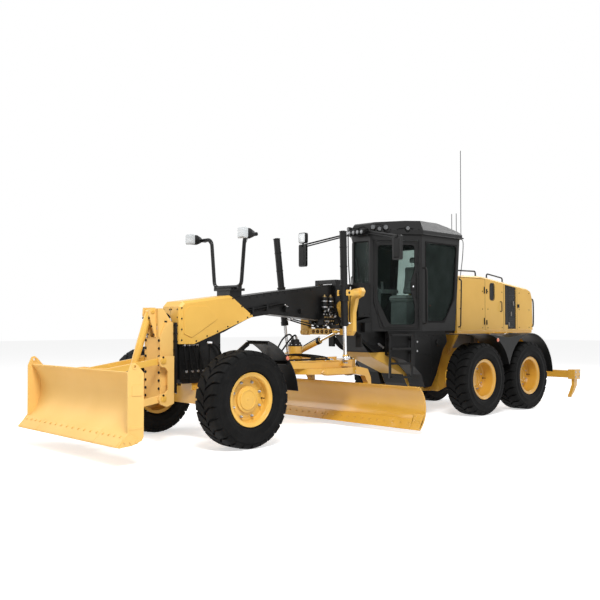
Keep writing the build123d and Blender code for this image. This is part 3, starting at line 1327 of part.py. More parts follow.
def turned_up(profile, x, y):
    """Revolve a (radius, height) profile about an upright line."""
    face = make_face(Polyline(*[(x + radius, y, z) for radius, z in profile], close=True))
    return revolve(face, axis=Axis((x, y, 0), (0, 0, 1)))


def lamp(front, radius, depth):
    """A round lamp that faces forwards, with a narrower back."""
    x, y, z = front
    profile = [(0, 0), (radius * 0.92, 0), (radius, depth * 0.08), (radius, depth * 0.55), (radius * 0.6, depth), (0, depth)]
    face = make_face(Polyline(*[(x + r, y + d, z) for r, d in profile], close=True))
    return revolve(face, axis=Axis((x, y, z), (0, 1, 0)))


def hood_side(inset):
    """The hood's outline from the side, moved inwards: a level front, a long slope and a rounded tail."""
    top = HOOD_TOP_Z - inset
    rear = HOOD_REAR_TOP_Z - inset
    foot = HOOD_BOTTOM_Z - (1 if inset else 0)
    return [
        (HOOD_FRONT_Y + inset, foot), (HOOD_FRONT_Y - 30 + inset, top - 12), (HOOD_BREAK_Y, top), (HOOD_REAR_Y - 130, rear),
        (HOOD_REAR_Y - inset * 0.7, rear - 50), (HOOD_REAR_Y + 40 - inset, rear - 140), (HOOD_REAR_Y + 60 - inset, foot),
    ]


def grille_panel(outline, low, high, y0, y1, pitch, corner=0):
    """A louvred panel on the machine's left: a thin backing in the outline, with slats across it."""
    cut = slab_x(outline, HOOD_HALF - 60, HOOD_HALF + 10, corner)
    panel = block(HOOD_HALF - 12, HOOD_HALF - 8, y0 - 10, y1 + 10, low - 10, high + 10)
    z = low + pitch / 2
    while z < high:
        panel += block(HOOD_HALF - 9, HOOD_HALF - 2, y0 - 10, y1 + 10, z - pitch * 0.2, z + pitch * 0.2)
        z += pitch
    return panel & cut


first_y = WHEELBASE - TANDEM_SPACING / 2
last_y = WHEELBASE + TANDEM_SPACING / 2

os.makedirs("parts", exist_ok=True)
tyre = tyre_solid()
for name, side in (("left", 1), ("right", -1)):
    wheel(f"front_{name}", side * HALF_TRACK, 0, FRONT_DISH, FRONT_CAP, SPINDLE_R + RUN, tyre)
    wheel(f"middle_{name}", side * HALF_TRACK, first_y, REAR_DISH, REAR_CAP, REAR_SPINDLE_R + RUN, tyre)
    wheel(f"rear_{name}", side * HALF_TRACK, last_y, REAR_DISH, REAR_CAP, REAR_SPINDLE_R + RUN, tyre)
    write(f"knuckle_{name}", knuckle(side))
    write(f"front_fender_{name}", front_fender(side))
    write(f"lift_barrel_{name}", lift_barrel(side))
    write(f"lift_rod_{name}", lift_rod(side))
    write(f"door_{name}", door(side))
    write(f"door_glass_{name}", door_glass(side))
write("front_axle", front_axle())
write("tie_rod", tie_rod())
write("boom", boom())
write("nose_shroud", nose_shroud())
write("frame_tail", frame_tail())
write("saddle", saddle())
write("drawbar", drawbar())
write("circle", circle())
write("blade_carrier", blade_carrier())
write("moldboard", moldboard())
write("shift_barrel", shift_barrel())
write("shift_rod", shift_rod())
write("dozer_mast", dozer_mast())
write("dozer_lower_arms", lower_arms())
write("dozer_upper_arms", upper_arms())
write("dozer_blade", dozer_blade())
write("dozer_barrels", dozer_barrels())
write("dozer_rods", dozer_rods())
write("cab_shell", cab_shell())
write("cab_glass", cab_glass())
write("seat", seat())
write("cab_controls", cab_controls())
write("side_tanks", side_tanks())
write("ladders", [ladder(1), ladder(-1)])
write("lamp_posts", lamp_posts())
write("work_lamps", work_lamps())
write("mirrors_and_antennas", mirrors() + [antennas()])
write("rear_frame", rear_frame())
write("engine_block", engine_block())
write("hood", hood())
write("rear_fenders", rear_fenders())
write("hood_fittings", hood_grilles() + hood_rails() + rear_lamps())
write("ripper", ripper())
write("ripper_barrel", ripper_barrel())
write("ripper_rod", ripper_rod())
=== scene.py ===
"""Motor grader: finishes, fine shapes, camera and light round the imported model. Metres."""
from math import acos, atan2, cos, pi, radians, sin, sqrt, tau

import bmesh
import bpy
from mathutils import Matrix, Vector

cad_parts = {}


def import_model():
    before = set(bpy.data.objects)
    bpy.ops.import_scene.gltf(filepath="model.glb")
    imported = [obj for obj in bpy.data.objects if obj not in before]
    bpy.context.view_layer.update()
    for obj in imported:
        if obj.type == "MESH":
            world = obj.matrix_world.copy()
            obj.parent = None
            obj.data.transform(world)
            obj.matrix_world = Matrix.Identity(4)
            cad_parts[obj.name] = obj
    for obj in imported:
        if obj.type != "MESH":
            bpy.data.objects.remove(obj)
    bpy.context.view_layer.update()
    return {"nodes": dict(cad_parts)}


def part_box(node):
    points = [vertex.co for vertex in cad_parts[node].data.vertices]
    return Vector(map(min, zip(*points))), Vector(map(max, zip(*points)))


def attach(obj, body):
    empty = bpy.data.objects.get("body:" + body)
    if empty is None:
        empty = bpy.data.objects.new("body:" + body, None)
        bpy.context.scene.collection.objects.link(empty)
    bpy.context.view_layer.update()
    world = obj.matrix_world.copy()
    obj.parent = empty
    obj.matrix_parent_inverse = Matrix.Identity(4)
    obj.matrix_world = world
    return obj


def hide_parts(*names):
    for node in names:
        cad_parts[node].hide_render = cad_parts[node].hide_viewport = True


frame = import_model()
scene = bpy.context.scene
scene.view_settings.view_transform = "Standard"


# Camera, light and floor

CAMERA_AT = (9.1091, -10.1962, 1.6378)
CAMERA_TURN = (radians(91.642), 0.0, radians(46.302))
CAMERA_LENS = 47.435
SENSOR_WIDTH = 36
VIEW_DEPTH = 200
SOFT_LIGHT = 0.42       # the surround's light on the object; the eye sees it white
FLOOR_GLOW = 0.56       # makes up for the floor's shade under the soft light
FLOOR_HALF = 60
# Name, place, where it aims, diameter and power
LIGHTS = (
    ("key", (8, -8, 11), (0, -1, 0.8), 4.5, 1750),
    ("fill", (-8, -10, 6), (0, 0, 1), 8, 450),
    ("back", (2, 12, 9), (0, 2, 1), 7, 700),
)


def camera():
    """The eye that was fitted to the photo."""
    data = bpy.data.cameras.new("camera")
    data.lens = CAMERA_LENS
    data.sensor_width = SENSOR_WIDTH
    data.clip_end = VIEW_DEPTH
    eye = bpy.data.objects.new("camera", data)
    eye.location = CAMERA_AT
    eye.rotation_euler = CAMERA_TURN
    scene.collection.objects.link(eye)
    scene.camera = eye


def area_light(name, at, aim, size, power):
    """A round soft light at a place, aimed at another."""
    data = bpy.data.lights.new(name, "AREA")
    data.shape = "DISK"
    data.size = size
    data.energy = power
    lamp = bpy.data.objects.new(name, data)
    lamp.location = at
    lamp.rotation_euler = (Vector(aim) - Vector(at)).to_track_quat("-Z", "Y").to_euler()
    scene.collection.objects.link(lamp)


def plain_rays(nodes, links):
    """1 where the camera, a reflection or a look through glass meets the surface."""
    path = nodes.new("ShaderNodeLightPath")
    first = nodes.new("ShaderNodeMath")
    first.operation = "MAXIMUM"
    links.new(path.outputs["Is Camera Ray"], first.inputs[0])
    links.new(path.outputs["Is Glossy Ray"], first.inputs[1])
    both = nodes.new("ShaderNodeMath")
    both.operation = "MAXIMUM"
    links.new(first.outputs[0], both.inputs[0])
    links.new(path.outputs["Is Transmission Ray"], both.inputs[1])
    return both.outputs[0]


def world():
    """A white surround to the eye that lights the object gently."""
    sky = bpy.data.worlds.new("studio")
    scene.world = sky
    sky.use_nodes = True
    nodes, links = sky.node_tree.nodes, sky.node_tree.links
    nodes.clear()
    soft = nodes.new("ShaderNodeBackground")
    put(soft, "Color", (1, 1, 1, 1))
    put(soft, "Strength", SOFT_LIGHT)
    white = nodes.new("ShaderNodeBackground")
    put(white, "Color", (1, 1, 1, 1))
    put(white, "Strength", 1.0)
    mix = nodes.new("ShaderNodeMixShader")
    links.new(plain_rays(nodes, links), mix.inputs[0])
    links.new(soft.outputs[0], mix.inputs[1])
    links.new(white.outputs[0], mix.inputs[2])
    out = nodes.new("ShaderNodeOutputWorld")
    links.new(mix.outputs[0], out.inputs[0])


def floor():
    """A wide pale floor."""
    bm = bmesh.new()
    bmesh.ops.create_grid(bm, x_segments=4, y_segments=4, size=FLOOR_HALF)
    mesh = bpy.data.meshes.new("floor")
    bm.to_mesh(mesh)
    bm.free()
    ground = bpy.data.objects.new("floor", mesh)
    scene.collection.objects.link(ground)
    mesh.materials.append(floor_finish())


# Materials

def put(node, socket, value):
    """Sets the value of a node's input."""
    node.inputs[socket].default_value = value


def shader(name):
    """A material with one Principled shader; gives it with its nodes and links."""
    mat = bpy.data.materials.new(name)
    mat.use_nodes = True
    nodes, links = mat.node_tree.nodes, mat.node_tree.links
    return mat, nodes.get("Principled BSDF"), nodes, links


def noise(nodes, links, scale, detail=4, rough=0.55):
    """The factor of a noise over the object's own coordinates."""
    where = nodes.new("ShaderNodeTexCoord")
    cloud = nodes.new("ShaderNodeTexNoise")
    put(cloud, "Scale", scale)
    put(cloud, "Detail", detail)
    put(cloud, "Roughness", rough)
    links.new(where.outputs["Object"], cloud.inputs["Vector"])
    return cloud.outputs["Fac"]


def ramp(nodes, links, source, stops):
    """A colour ramp over a value; stops are (place, colour)."""
    bar = nodes.new("ShaderNodeValToRGB")
    links.new(source, bar.inputs["Fac"])
    points = bar.color_ramp.elements
    while len(points) < len(stops):
        points.new(0.5)
    for point, (place, colour) in zip(points, stops):
        point.position = place
        point.color = (*colour, 1) if len(colour) == 3 else colour
    return bar.outputs["Color"]


def grey(value):
    """A neutral colour."""
    return (value, value, value)


def map_range(nodes, links, source, low, high):
    """A factor spread between two values."""
    bar = nodes.new("ShaderNodeMapRange")
    put(bar, "To Min", low)
    put(bar, "To Max", high)
    links.new(source, bar.inputs["Value"])
    return bar.outputs["Result"]


def bump(nodes, links, source, strength, distance, normal=None):
    """A normal raised by a factor, over another normal where one is given."""
    node = nodes.new("ShaderNodeBump")
    put(node, "Strength", strength)
    put(node, "Distance", distance)
    links.new(source, node.inputs["Height"])
    if normal is not None:
        links.new(normal, node.inputs["Normal"])
    return node.outputs["Normal"]


def soft_edge(nodes, radius):
    """A normal that rounds hard edges a little."""
    node = nodes.new("ShaderNodeBevel")
    node.samples = 4
    put(node, "Radius", radius)
    return node.outputs["Normal"]


def painted(name, base, shade, light, rough, coat=0.12, gloss=0.4):
    """Sprayed paint: slow drift of colour and gloss, fine orange peel and softened edges."""
    mat, main, nodes, links = shader(name)
    cloud = noise(nodes, links, 1.3, 5)
    tint = ramp(nodes, links, cloud, [(0.3, shade), (0.55, base), (0.75, light)])
    links.new(tint, main.inputs["Base Color"])
    fine = noise(nodes, links, 9, 6)
    links.new(map_range(nodes, links, fine, rough - 0.06, rough + 0.1), main.inputs["Roughness"])
    put(main, "Coat Weight", coat)
    put(main, "Coat Roughness", 0.12)
    put(main, "Specular IOR Level", gloss)
    peel = noise(nodes, links, 420, 2)
    links.new(bump(nodes, links, peel, 0.04, 0.002, soft_edge(nodes, 0.004)), main.inputs["Normal"])
    return mat


def rubber_finish(name="tyre_compound", base=0.003, light=0.009):
    """Black rubber: dull, grained, with a faint dusty drift."""
    mat, main, nodes, links = shader(name)
    put(main, "Specular IOR Level", 0.09)
    cloud = noise(nodes, links, 6, 8, 0.65)
    links.new(ramp(nodes, links, cloud, [(0.3, grey(base)), (0.75, grey(light))]), main.inputs["Base Color"])
    links.new(map_range(nodes, links, noise(nodes, links, 30, 4), 0.55, 0.82), main.inputs["Roughness"])
    grain = noise(nodes, links, 260, 3)
    links.new(bump(nodes, links, grain, 0.12, 0.002, soft_edge(nodes, 0.004)), main.inputs["Normal"])
    return mat


def metal_finish(name, colour, rough):
    """Bare or plated metal with a slow drift of colour and gloss."""
    mat, main, nodes, links = shader(name)
    cloud = noise(nodes, links, 14, 5)
    dark = tuple(c * 0.82 for c in colour)
    links.new(ramp(nodes, links, cloud, [(0.3, dark), (0.7, colour)]), main.inputs["Base Color"])
    put(main, "Metallic", 1.0)
    links.new(map_range(
        nodes, links, noise(nodes, links, 60, 3), rough - 0.04, rough + 0.08), main.inputs["Roughness"])
    links.new(soft_edge(nodes, 0.002), main.inputs["Normal"])
    return mat


def plastic_finish(name, base, light, rough, gloss=0.5):
    """Moulded plastic with a fine grain."""
    mat, main, nodes, links = shader(name)
    put(main, "Specular IOR Level", gloss)
    links.new(ramp(
        nodes, links, noise(nodes, links, 5, 4), [(0.3, base), (0.7, light)]), main.inputs["Base Color"])
    links.new(map_range(
        nodes, links, noise(nodes, links, 40, 3), rough - 0.05, rough + 0.08), main.inputs["Roughness"])
    grain = noise(nodes, links, 180, 3)
    links.new(bump(nodes, links, grain, 0.08, 0.002, soft_edge(nodes, 0.003)), main.inputs["Normal"])
    return mat


def glass_finish():
    """Tinted cab glass: a thin green-grey pane with a faint film of dust and a clear gloss."""
    mat, main, nodes, links = shader("cab_pane")
    film = noise(nodes, links, 3, 5)
    links.new(ramp(
        nodes, links, film,
        [(0.35, (0.06, 0.075, 0.070)), (0.75, (0.10, 0.12, 0.114))]), main.inputs["Base Color"])
    links.new(map_range(nodes, links, film, 0.03, 0.07), main.inputs["Roughness"])
    links.new(bump(nodes, links, noise(nodes, links, 2.2, 2), 0.03, 0.002), main.inputs["Normal"])
    clear = nodes.new("ShaderNodeBsdfTransparent")
    links.new(ramp(
        nodes, links, film, [(0.35, (0.72, 0.78, 0.76)), (0.75, (0.77, 0.83, 0.81))]), clear.inputs["Color"])
    edge = nodes.new("ShaderNodeFresnel")
    put(edge, "IOR", 1.5)
    mix = nodes.new("ShaderNodeMixShader")
    links.new(edge.outputs["Fac"], mix.inputs["Fac"])
    links.new(clear.outputs["BSDF"], mix.inputs[1])
    links.new(main.outputs["BSDF"], mix.inputs[2])
    end = next(node for node in nodes if node.type == "OUTPUT_MATERIAL")
    links.new(mix.outputs["Shader"], end.inputs["Surface"])
    return mat


def lens_finish():
    """A ribbed clear lens."""
    mat, main, nodes, links = shader("lamp_lens")
    ribs = nodes.new("ShaderNodeTexWave")
    put(ribs, "Scale", 45)
    where = nodes.new("ShaderNodeTexCoord")
    links.new(where.outputs["Object"], ribs.inputs["Vector"])
    links.new(ramp(
        nodes, links, ribs.outputs["Fac"],
        [(0.2, (0.52, 0.54, 0.55)), (0.8, (0.7, 0.72, 0.73))]), main.inputs["Base Color"])
    put(main, "Roughness", 0.12)
    put(main, "Coat Weight", 0.8)
    links.new(bump(nodes, links, ribs.outputs["Fac"], 0.2, 0.002), main.inputs["Normal"])
    return mat


def reflector_finish(name, colour):
    """Coloured plastic with small prism cells."""
    mat, main, nodes, links = shader(name)
    cells = nodes.new("ShaderNodeTexVoronoi")
    put(cells, "Scale", 240)
    where = nodes.new("ShaderNodeTexCoord")
    links.new(where.outputs["Object"], cells.inputs["Vector"])
    dark = tuple(c * 0.6 for c in colour)
    links.new(ramp(
        nodes, links, cells.outputs["Distance"], [(0.1, dark), (0.6, colour)]), main.inputs["Base Color"])
    put(main, "Roughness", 0.2)
    put(main, "Coat Weight", 0.7)
    links.new(bump(nodes, links, cells.outputs["Distance"], 0.3, 0.001), main.inputs["Normal"])
    return mat


def fabric_finish():
    """Woven seat cloth: crossed threads over a soft grey."""
    mat, main, nodes, links = shader("seat_cloth")
    where = nodes.new("ShaderNodeTexCoord")
    threads = []
    for turn in (0, 90):
        place = nodes.new("ShaderNodeMapping")
        put(place, "Rotation", (radians(turn), radians(turn), 0))
        links.new(where.outputs["Object"], place.inputs["Vector"])
        wave = nodes.new("ShaderNodeTexWave")
        put(wave, "Scale", 160)
        put(wave, "Distortion", 1.2)
        links.new(place.outputs["Vector"], wave.inputs["Vector"])
        threads.append(wave.outputs["Fac"])
    weave = nodes.new("ShaderNodeMath")
    weave.operation = "MAXIMUM"
    links.new(threads[0], weave.inputs[0])
    links.new(threads[1], weave.inputs[1])
    blend = nodes.new("ShaderNodeMath")
    blend.operation = "MULTIPLY"
    links.new(weave.outputs[0], blend.inputs[0])
    links.new(noise(nodes, links, 7, 4), blend.inputs[1])
    links.new(ramp(
        nodes, links, blend.outputs[0], [(0.2, grey(0.30)), (0.7, grey(0.50))]), main.inputs["Base Color"])
    put(main, "Roughness", 0.9)
    put(main, "Sheen Weight", 0.4)
    links.new(bump(nodes, links, weave.outputs[0], 0.4, 0.001), main.inputs["Normal"])
    return mat


def floor_finish():
    """White to the eye, and it keeps the object's soft shadow."""
    mat, main, nodes, links = shader("floor_paint")
    put(main, "Roughness", 0.9)
    put(main, "Specular IOR Level", 0.0)
    links.new(ramp(
        nodes, links, noise(nodes, links, 0.6, 3),
        [(0.3, grey(0.84)), (0.7, grey(0.86))]), main.inputs["Base Color"])
    glow = nodes.new("ShaderNodeMath")
    glow.operation = "MULTIPLY"
    links.new(plain_rays(nodes, links), glow.inputs[0])
    glow.inputs[1].default_value = FLOOR_GLOW
    put(main, "Emission Color", (1, 1, 1, 1))
    links.new(glow.outputs[0], main.inputs["Emission Strength"])
    return mat


YELLOW = painted("yellow_enamel", (0.74, 0.435, 0.080), (0.70, 0.40, 0.068), (0.77, 0.465, 0.094), 0.36)
# A darker, glossier copy of the yellow paint: its darker colour is painted shade on the low parts and on the
# middle and rear rims.
YELLOW_PAINTED_SHADE = painted(
    "yellow_enamel_painted_shade", (0.64, 0.345, 0.044), (0.61, 0.32, 0.038), (0.67, 0.37, 0.052), 0.22, coat=0.3,
    gloss=0.55)
# A paler, rougher copy of the yellow paint without coat: its paler colour is painted light on the front
# blade, its mast and lower arms.
YELLOW_DULL_PAINTED_LIGHT = painted(
    "yellow_enamel_dull_painted_light", (0.80, 0.50, 0.155), (0.77, 0.475, 0.14), (0.83, 0.525, 0.175), 0.55, coat=0.0,
    gloss=0.25)
BLACK = painted("black_enamel", grey(0.005), grey(0.004), grey(0.007), 0.42, coat=0.05, gloss=0.22)
MATT_BLACK = plastic_finish("black_moulding", grey(0.004), grey(0.007), 0.5, gloss=0.2)
RUBBER = rubber_finish()
HOSE = rubber_finish("hose_rubber", 0.006, 0.012)
CHROME = metal_finish("rod_chromium", (0.75, 0.75, 0.76), 0.14)
ZINC = metal_finish("bolt_zinc", (0.55, 0.55, 0.56), 0.32)
GOLD = metal_finish("fitting_passivate", (0.34, 0.25, 0.12), 0.4)
NUT_STEEL = metal_finish("nut_steel", (0.34, 0.35, 0.36), 0.35)
IRON = metal_finish("engine_casting", (0.22, 0.2, 0.18), 0.5)
GLASS = glass_finish()
LENS = lens_finish()
CLOTH = fabric_finish()
GREY_TRIM = plastic_finish("cab_lining", (0.16, 0.165, 0.168), (0.22, 0.225, 0.228), 0.6)
RED_DOT = reflector_finish("red_reflector", (0.55, 0.03, 0.02))
DIM_LENS = reflector_finish("dim_lens", (0.10, 0.105, 0.11))
PALE_LENS = plastic_finish("pale_lens", (0.42, 0.44, 0.45), (0.50, 0.52, 0.53), 0.3)
ORANGE_DOT = reflector_finish("orange_reflector", (0.72, 0.17, 0.08))
AMBER = reflector_finish("amber_lens", (0.75, 0.28, 0.03))

SLOT_FINISH = {
    "yellow_paint": YELLOW,
    "black_paint": BLACK,
    "tyre_rubber": RUBBER,
    "rod_chrome": CHROME,
    "lamp_plastic": LENS,
    "cab_glass": GLASS,
    "seat_fabric": CLOTH,
    "cab_plastic": GREY_TRIM,
    "engine_iron": IRON,
}
# The slot of a new piece by its finish; a piece of any other finish has none
SLOT_OF = {
    finish.name: slot for slot, finishes in {
        "yellow_paint": (YELLOW, YELLOW_PAINTED_SHADE, YELLOW_DULL_PAINTED_LIGHT), "black_paint": (BLACK,), "tyre_rubber": (RUBBER,),
        "lamp_plastic": (LENS, DIM_LENS, PALE_LENS),
    }.items() for finish in finishes
}
# Imported nodes whose yellow takes the darker copy, with painted shade.
PAINTED_SHADE_NODES = (
    "moldboard", "circle", "drawbar", "blade_carrier", "ripper", "ripper_barrel", "front_axle", "rear_frame",
    "rim_middle_left", "rim_middle_right", "rim_rear_left", "rim_rear_right",
)
# Imported nodes whose yellow takes the paler copy, with painted light.
PAINTED_LIGHT_NODES = ("dozer_blade", "dozer_mast", "dozer_lower_arms")


def finish_nodes():
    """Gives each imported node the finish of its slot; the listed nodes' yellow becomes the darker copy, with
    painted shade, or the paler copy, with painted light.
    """
    for name, node in frame["nodes"].items():
        for place in node.material_slots:
            place.material = SLOT_FINISH[place.material.name.split(".")[0]]
    for names, paint in ((PAINTED_SHADE_NODES, YELLOW_PAINTED_SHADE), (PAINTED_LIGHT_NODES, YELLOW_DULL_PAINTED_LIGHT)):
        for name in names:
            for place in frame["nodes"][name].material_slots:
                if place.material == YELLOW:
                    place.material = paint


# Shapes

FRONT, REAR = "front_chassis", "rear_chassis"
FRONT_AXLE_Y = sum(c[1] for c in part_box("rim_front_left")) / 2


def at(x, y, z):
    """A place whose y is measured back from the front axle."""
    return Vector((x, y + FRONT_AXLE_Y, z))


def piece(name, bm, mat, body, slot=None, bevel=0.0, sharp=32):
    """Links a mesh as a piece on a body, smooth apart from sharp edges."""
    mesh = bpy.data.meshes.new(name)
    bmesh.ops.recalc_face_normals(bm, faces=bm.faces)
    bm.to_mesh(mesh)
    bm.free()
    mesh.materials.append(mat)
    for polygon in mesh.polygons:
        polygon.use_smooth = True
    mesh.set_sharp_from_angle(angle=radians(sharp))
    thing = bpy.data.objects.new(name, mesh)
    scene.collection.objects.link(thing)
    if bevel:
        rounding = thing.modifiers.new("rounding", "BEVEL")
        rounding.width = bevel
        rounding.segments = 2
        rounding.limit_method = "ANGLE"
        rounding.angle_limit = radians(sharp)
        rounding.harden_normals = True
    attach(thing, body)
    slot = SLOT_OF.get(mat.name) if slot is None else slot
    return thing


def skin(bm, a, b):
    """Faces between two closed rows of the same count."""
    for i in range(len(a)):
        j = (i + 1) % len(a)
        bm.faces.new((a[i], a[j], b[j], b[i]))


def add_box(bm, low, high, turn=None):
    """A box between two corners, turned about its middle."""
    low, high = Vector(low), Vector(high)
    made = bmesh.ops.create_cube(bm, size=1)
    size = Matrix.Diagonal((*(high - low), 1))
    place = Matrix.Translation((low + high) / 2) @ size
    if turn is not None:
        centre = Matrix.Translation((low + high) / 2)
        place = centre @ turn.to_4x4() @ centre.inverted() @ place
    bmesh.ops.transform(bm, matrix=place, verts=made["verts"])
    return made["verts"]


def add_ring(bm, profile, centre, axis, segments=48, close=False):
    """A profile of (radius, along) turned about an axis; ends are closed where the radius is 0."""
    axis = Vector(axis).normalized()
    u = axis.orthogonal().normalized()
    v = axis.cross(u)
    rows = []
    for radius, along in profile:
        spot = Vector(centre) + axis * along
        if radius < 1e-6:
            rows.append([bm.verts.new(spot)])
        else:
            rows.append([
                bm.verts.new(spot + (u * cos(tau * i / segments) + v * sin(tau * i / segments)) * radius)
                for i in range(segments)])
    pairs = list(zip(rows, rows[1:])) + ([(rows[-1], rows[0])] if close else [])
    for a, b in pairs:
        for i in range(segments):
            j = (i + 1) % segments
            if len(a) == 1 and len(b) == 1:
                continue
            if len(a) == 1:
                bm.faces.new((a[0], b[i], b[j]))
            elif len(b) == 1:
                bm.faces.new((a[i], a[j], b[0]))
            else:
                bm.faces.new((a[i], a[j], b[j], b[i]))
    return rows


def add_rod(bm, start, end, radius, segments=16):
    """A round bar between two places."""
    start, end = Vector(start), Vector(end)
    add_ring(bm, [
        (0, 0), (radius, 0), (radius, (end - start).length),
        (0, (end - start).length)], start, end - start, segments)


def add_bolt(bm, spot, axis, size):
    """A hexagon head with a washer, seated at a spot and facing along an axis."""
    add_ring(bm, [
        (0, -0.002), (size * 1.35, -0.002), (size * 1.35, size * 0.16), (size, size * 0.16)], spot, axis, 16)
    add_ring(bm, [
        (size, size * 0.1), (size, size * 0.72), (size * 0.8, size * 0.86), (0, size * 0.86)], spot, axis, 6)


def smooth_path(points, steps=8):
    """Points along a smooth line through a few places."""
    spots = [Vector(p) for p in points]
    spots = [2 * spots[0] - spots[1]] + spots + [2 * spots[-1] - spots[-2]]
    line = []
    for i in range(1, len(spots) - 2):
        a, b, c, d = spots[i - 1:i + 3]
        for k in range(steps):
            t = k / steps
            line.append(
                0.5 * (
                    (2 * b) + (c - a) * t + (
                        2 * a - 5 * b + 4 * c - d) * t * t + (3 * b - a - 3 * c + d) * t ** 3))
    line.append(spots[-2])
    return line


def add_tube(bm, path, radius, segments=10):
    """A round tube along a path, with closed ends."""
    rows = []
    before = None
    for i, spot in enumerate(path):
        ahead = (path[min(i + 1, len(path) - 1)] - path[max(i - 1, 0)]).normalized()
        if before is None:
            side = ahead.orthogonal().normalized()
        else:
            side = (before - ahead * before.dot(ahead)).normalized()
        before = side
        up = ahead.cross(side)
        rows.append([
            bm.verts.new(spot + (side * cos(tau * k / segments) + up * sin(tau * k / segments)) * radius)
            for k in range(segments)])
    for a, b in zip(rows, rows[1:]):
        skin(bm, a, b)
    bm.faces.new(list(reversed(rows[0])))
    bm.faces.new(rows[-1])


def add_plate(bm, outline, offset):
    """A flat outline of places, thickened by an offset vector."""
    low = [bm.verts.new(Vector(p)) for p in outline]
    high = [bm.verts.new(Vector(p) + Vector(offset)) for p in outline]
    bm.faces.new(low)
    bm.faces.new(list(reversed(high)))
    count = len(low)
    for i in range(count):
        j = (i + 1) % count
        bm.faces.new((low[i], high[i], high[j], low[j]))


# Tyres

TYRE_R = 0.640
LUGS = 26
SIDE_PROFILE = [
    (0.352, 0.163), (0.357, 0.170), (0.366, 0.176), (0.373, 0.196), (0.379, 0.198), (0.384, 0.206),
    (0.400, 0.212), (0.430, 0.2165), (0.455, 0.218), (0.458, 0.2195), (0.468, 0.2195), (0.471, 0.218),
    (0.510, 0.2165), (0.545, 0.213), (0.548, 0.2145), (0.556, 0.2145), (0.559, 0.212), (0.585, 0.205),
    (0.600, 0.192), (0.608, 0.170), (0.612, 0.130), (0.6135, 0.06), (0.614, 0.0)]
# Stations of one lug's arm: across from the middle, back along the tread, half width, top and bottom radius
LUG_STATIONS = [
    (0.004, 0.000, 0.056, 0.640, 0.600),
    (0.052, 0.046, 0.058, 0.640, 0.600),
    (0.100, 0.084, 0.061, 0.6395, 0.600),
    (0.140, 0.096, 0.062, 0.638, 0.598),
    (0.174, 0.098, 0.062, 0.634, 0.596),
    (0.196, 0.098, 0.060, 0.622, 0.590),
    (0.212, 0.098, 0.056, 0.598, 0.576),
]


def add_lug(bm, centre, side, turn):
    """One arm of a chevron lug, from the tread's middle out over the shoulder."""
    rows = []
    for across, back, half, top, low in LUG_STATIONS:
        row = []
        for sign, radius, half_w in (
                (-1, low, half * 1.12), (-1, top, half), (1, top, half), (1, low, half * 1.12)):
            angle = turn + (back + sign * half_w) / TYRE_R
            row.append(
                bm.verts.new(centre + Vector((side * across, radius * sin(angle), radius * cos(angle)))))
        rows.append(row)
    for a, b in zip(rows, rows[1:]):
        for i in range(3):
            bm.faces.new((a[i], a[i + 1], b[i + 1], b[i]))
    bm.faces.new(rows[0])
    bm.faces.new(list(reversed(rows[-1])))


def tyre(name, body, node):
    """A tyre with moulded walls and two rows of chevron lugs whose points lead as it rolls forwards."""
    low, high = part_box(node)
    centre = (Vector(low) + Vector(high)) / 2
    bm = bmesh.new()
    wall = SIDE_PROFILE + [(r, -w) for r, w in reversed(SIDE_PROFILE[:-1])]
    add_ring(bm, wall, centre, (1, 0, 0), 104, close=True)
    for side, shift in ((1, 0.0), (-1, 0.5)):
        for i in range(LUGS):
            add_lug(bm, centre, side, tau * (i + shift) / LUGS)
    thing = piece(name, bm, RUBBER, body, bevel=0.005, sharp=38)
    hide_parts(node)


def tyres():
    """The six tyres."""
    for place in ("front", "middle", "rear"):
        for side in ("left", "right"):
            tyre(f"tyre_tread_{place}_{side}", f"wheel_{place}_{side}", f"tyre_{place}_{side}")


# Fine pieces. Their tables are in millimetres, measured from the front axle's line on the ground.

def mm(x, y, z):
    """A place given in millimetres from the front axle's line on the ground."""
    return at(x / 1000, y / 1000, z / 1000)


SIDES = (("left", 1), ("right", -1))
BOTH = (1, -1)


def mirrored(part, side):
    """A table's entry with its x times a side: of a place, an axis, a box's two x or a plate's two x."""
    if not isinstance(part, (tuple, list)):
        return part
    plain = [not isinstance(p, (tuple, list)) for p in part]
    if all(plain) and len(part) in (3, 6):
        wide = len(part) // 3
        return (*(side * p for p in part[:wide]), *part[wide:])
    if plain == [False, True, True]:
        return part[0], side * part[1], side * part[2]
    return part if all(plain) else tuple(mirrored(p, side) for p in part)


def both(*entries):
    """Entries given for the left side, for the left and then for the right."""
    return [mirrored(entry, side) for side in BOTH for entry in entries]


def one(spot, axis, size):
    """A row of one bolt."""
    return spot, spot, 1, axis, size


def bolt_rows(name, body, mat, rows, slot=None):
    """Rows of bolts; each is (first place, last place, count, axis, head size in mm)."""
    bm = bmesh.new()
    for first, last, count, axis, size in rows:
        a, b = mm(*first), mm(*last)
        for i in range(count):
            add_bolt(bm, a.lerp(b, i / max(count - 1, 1)), axis, size / 1000)
    return piece(name, bm, mat, body, slot)


def plates(name, body, mat, table, bevel=0.003):
    """Plates; each is (outline of (y, z), x from, x to)."""
    bm = bmesh.new()
    for outline, x0, x1 in table:
        add_plate(bm, [mm(x0, y, z) for y, z in outline], (mm(x1, 0, 0) - mm(x0, 0, 0)))
    return piece(name, bm, mat, body, bevel=bevel)


def boxes(name, body, mat, table, bevel=0.003):
    """Boxes; each is (x from, x to, y from, y to, z from, z to)."""
    bm = bmesh.new()
    for x0, x1, y0, y1, z0, z1 in table:
        add_box(bm, mm(min(x0, x1), y0, z0), mm(max(x0, x1), y1, z1))
    return piece(name, bm, mat, body, bevel=bevel)


def tubes(name, body, mat, table, steps=8):
    """Bent round bars; each is (radius, places)."""
    bm = bmesh.new()
    for radius, places in table:
        add_tube(bm, smooth_path([mm(*p) for p in places], steps), radius / 1000, 12)
    return piece(name, bm, mat, body)


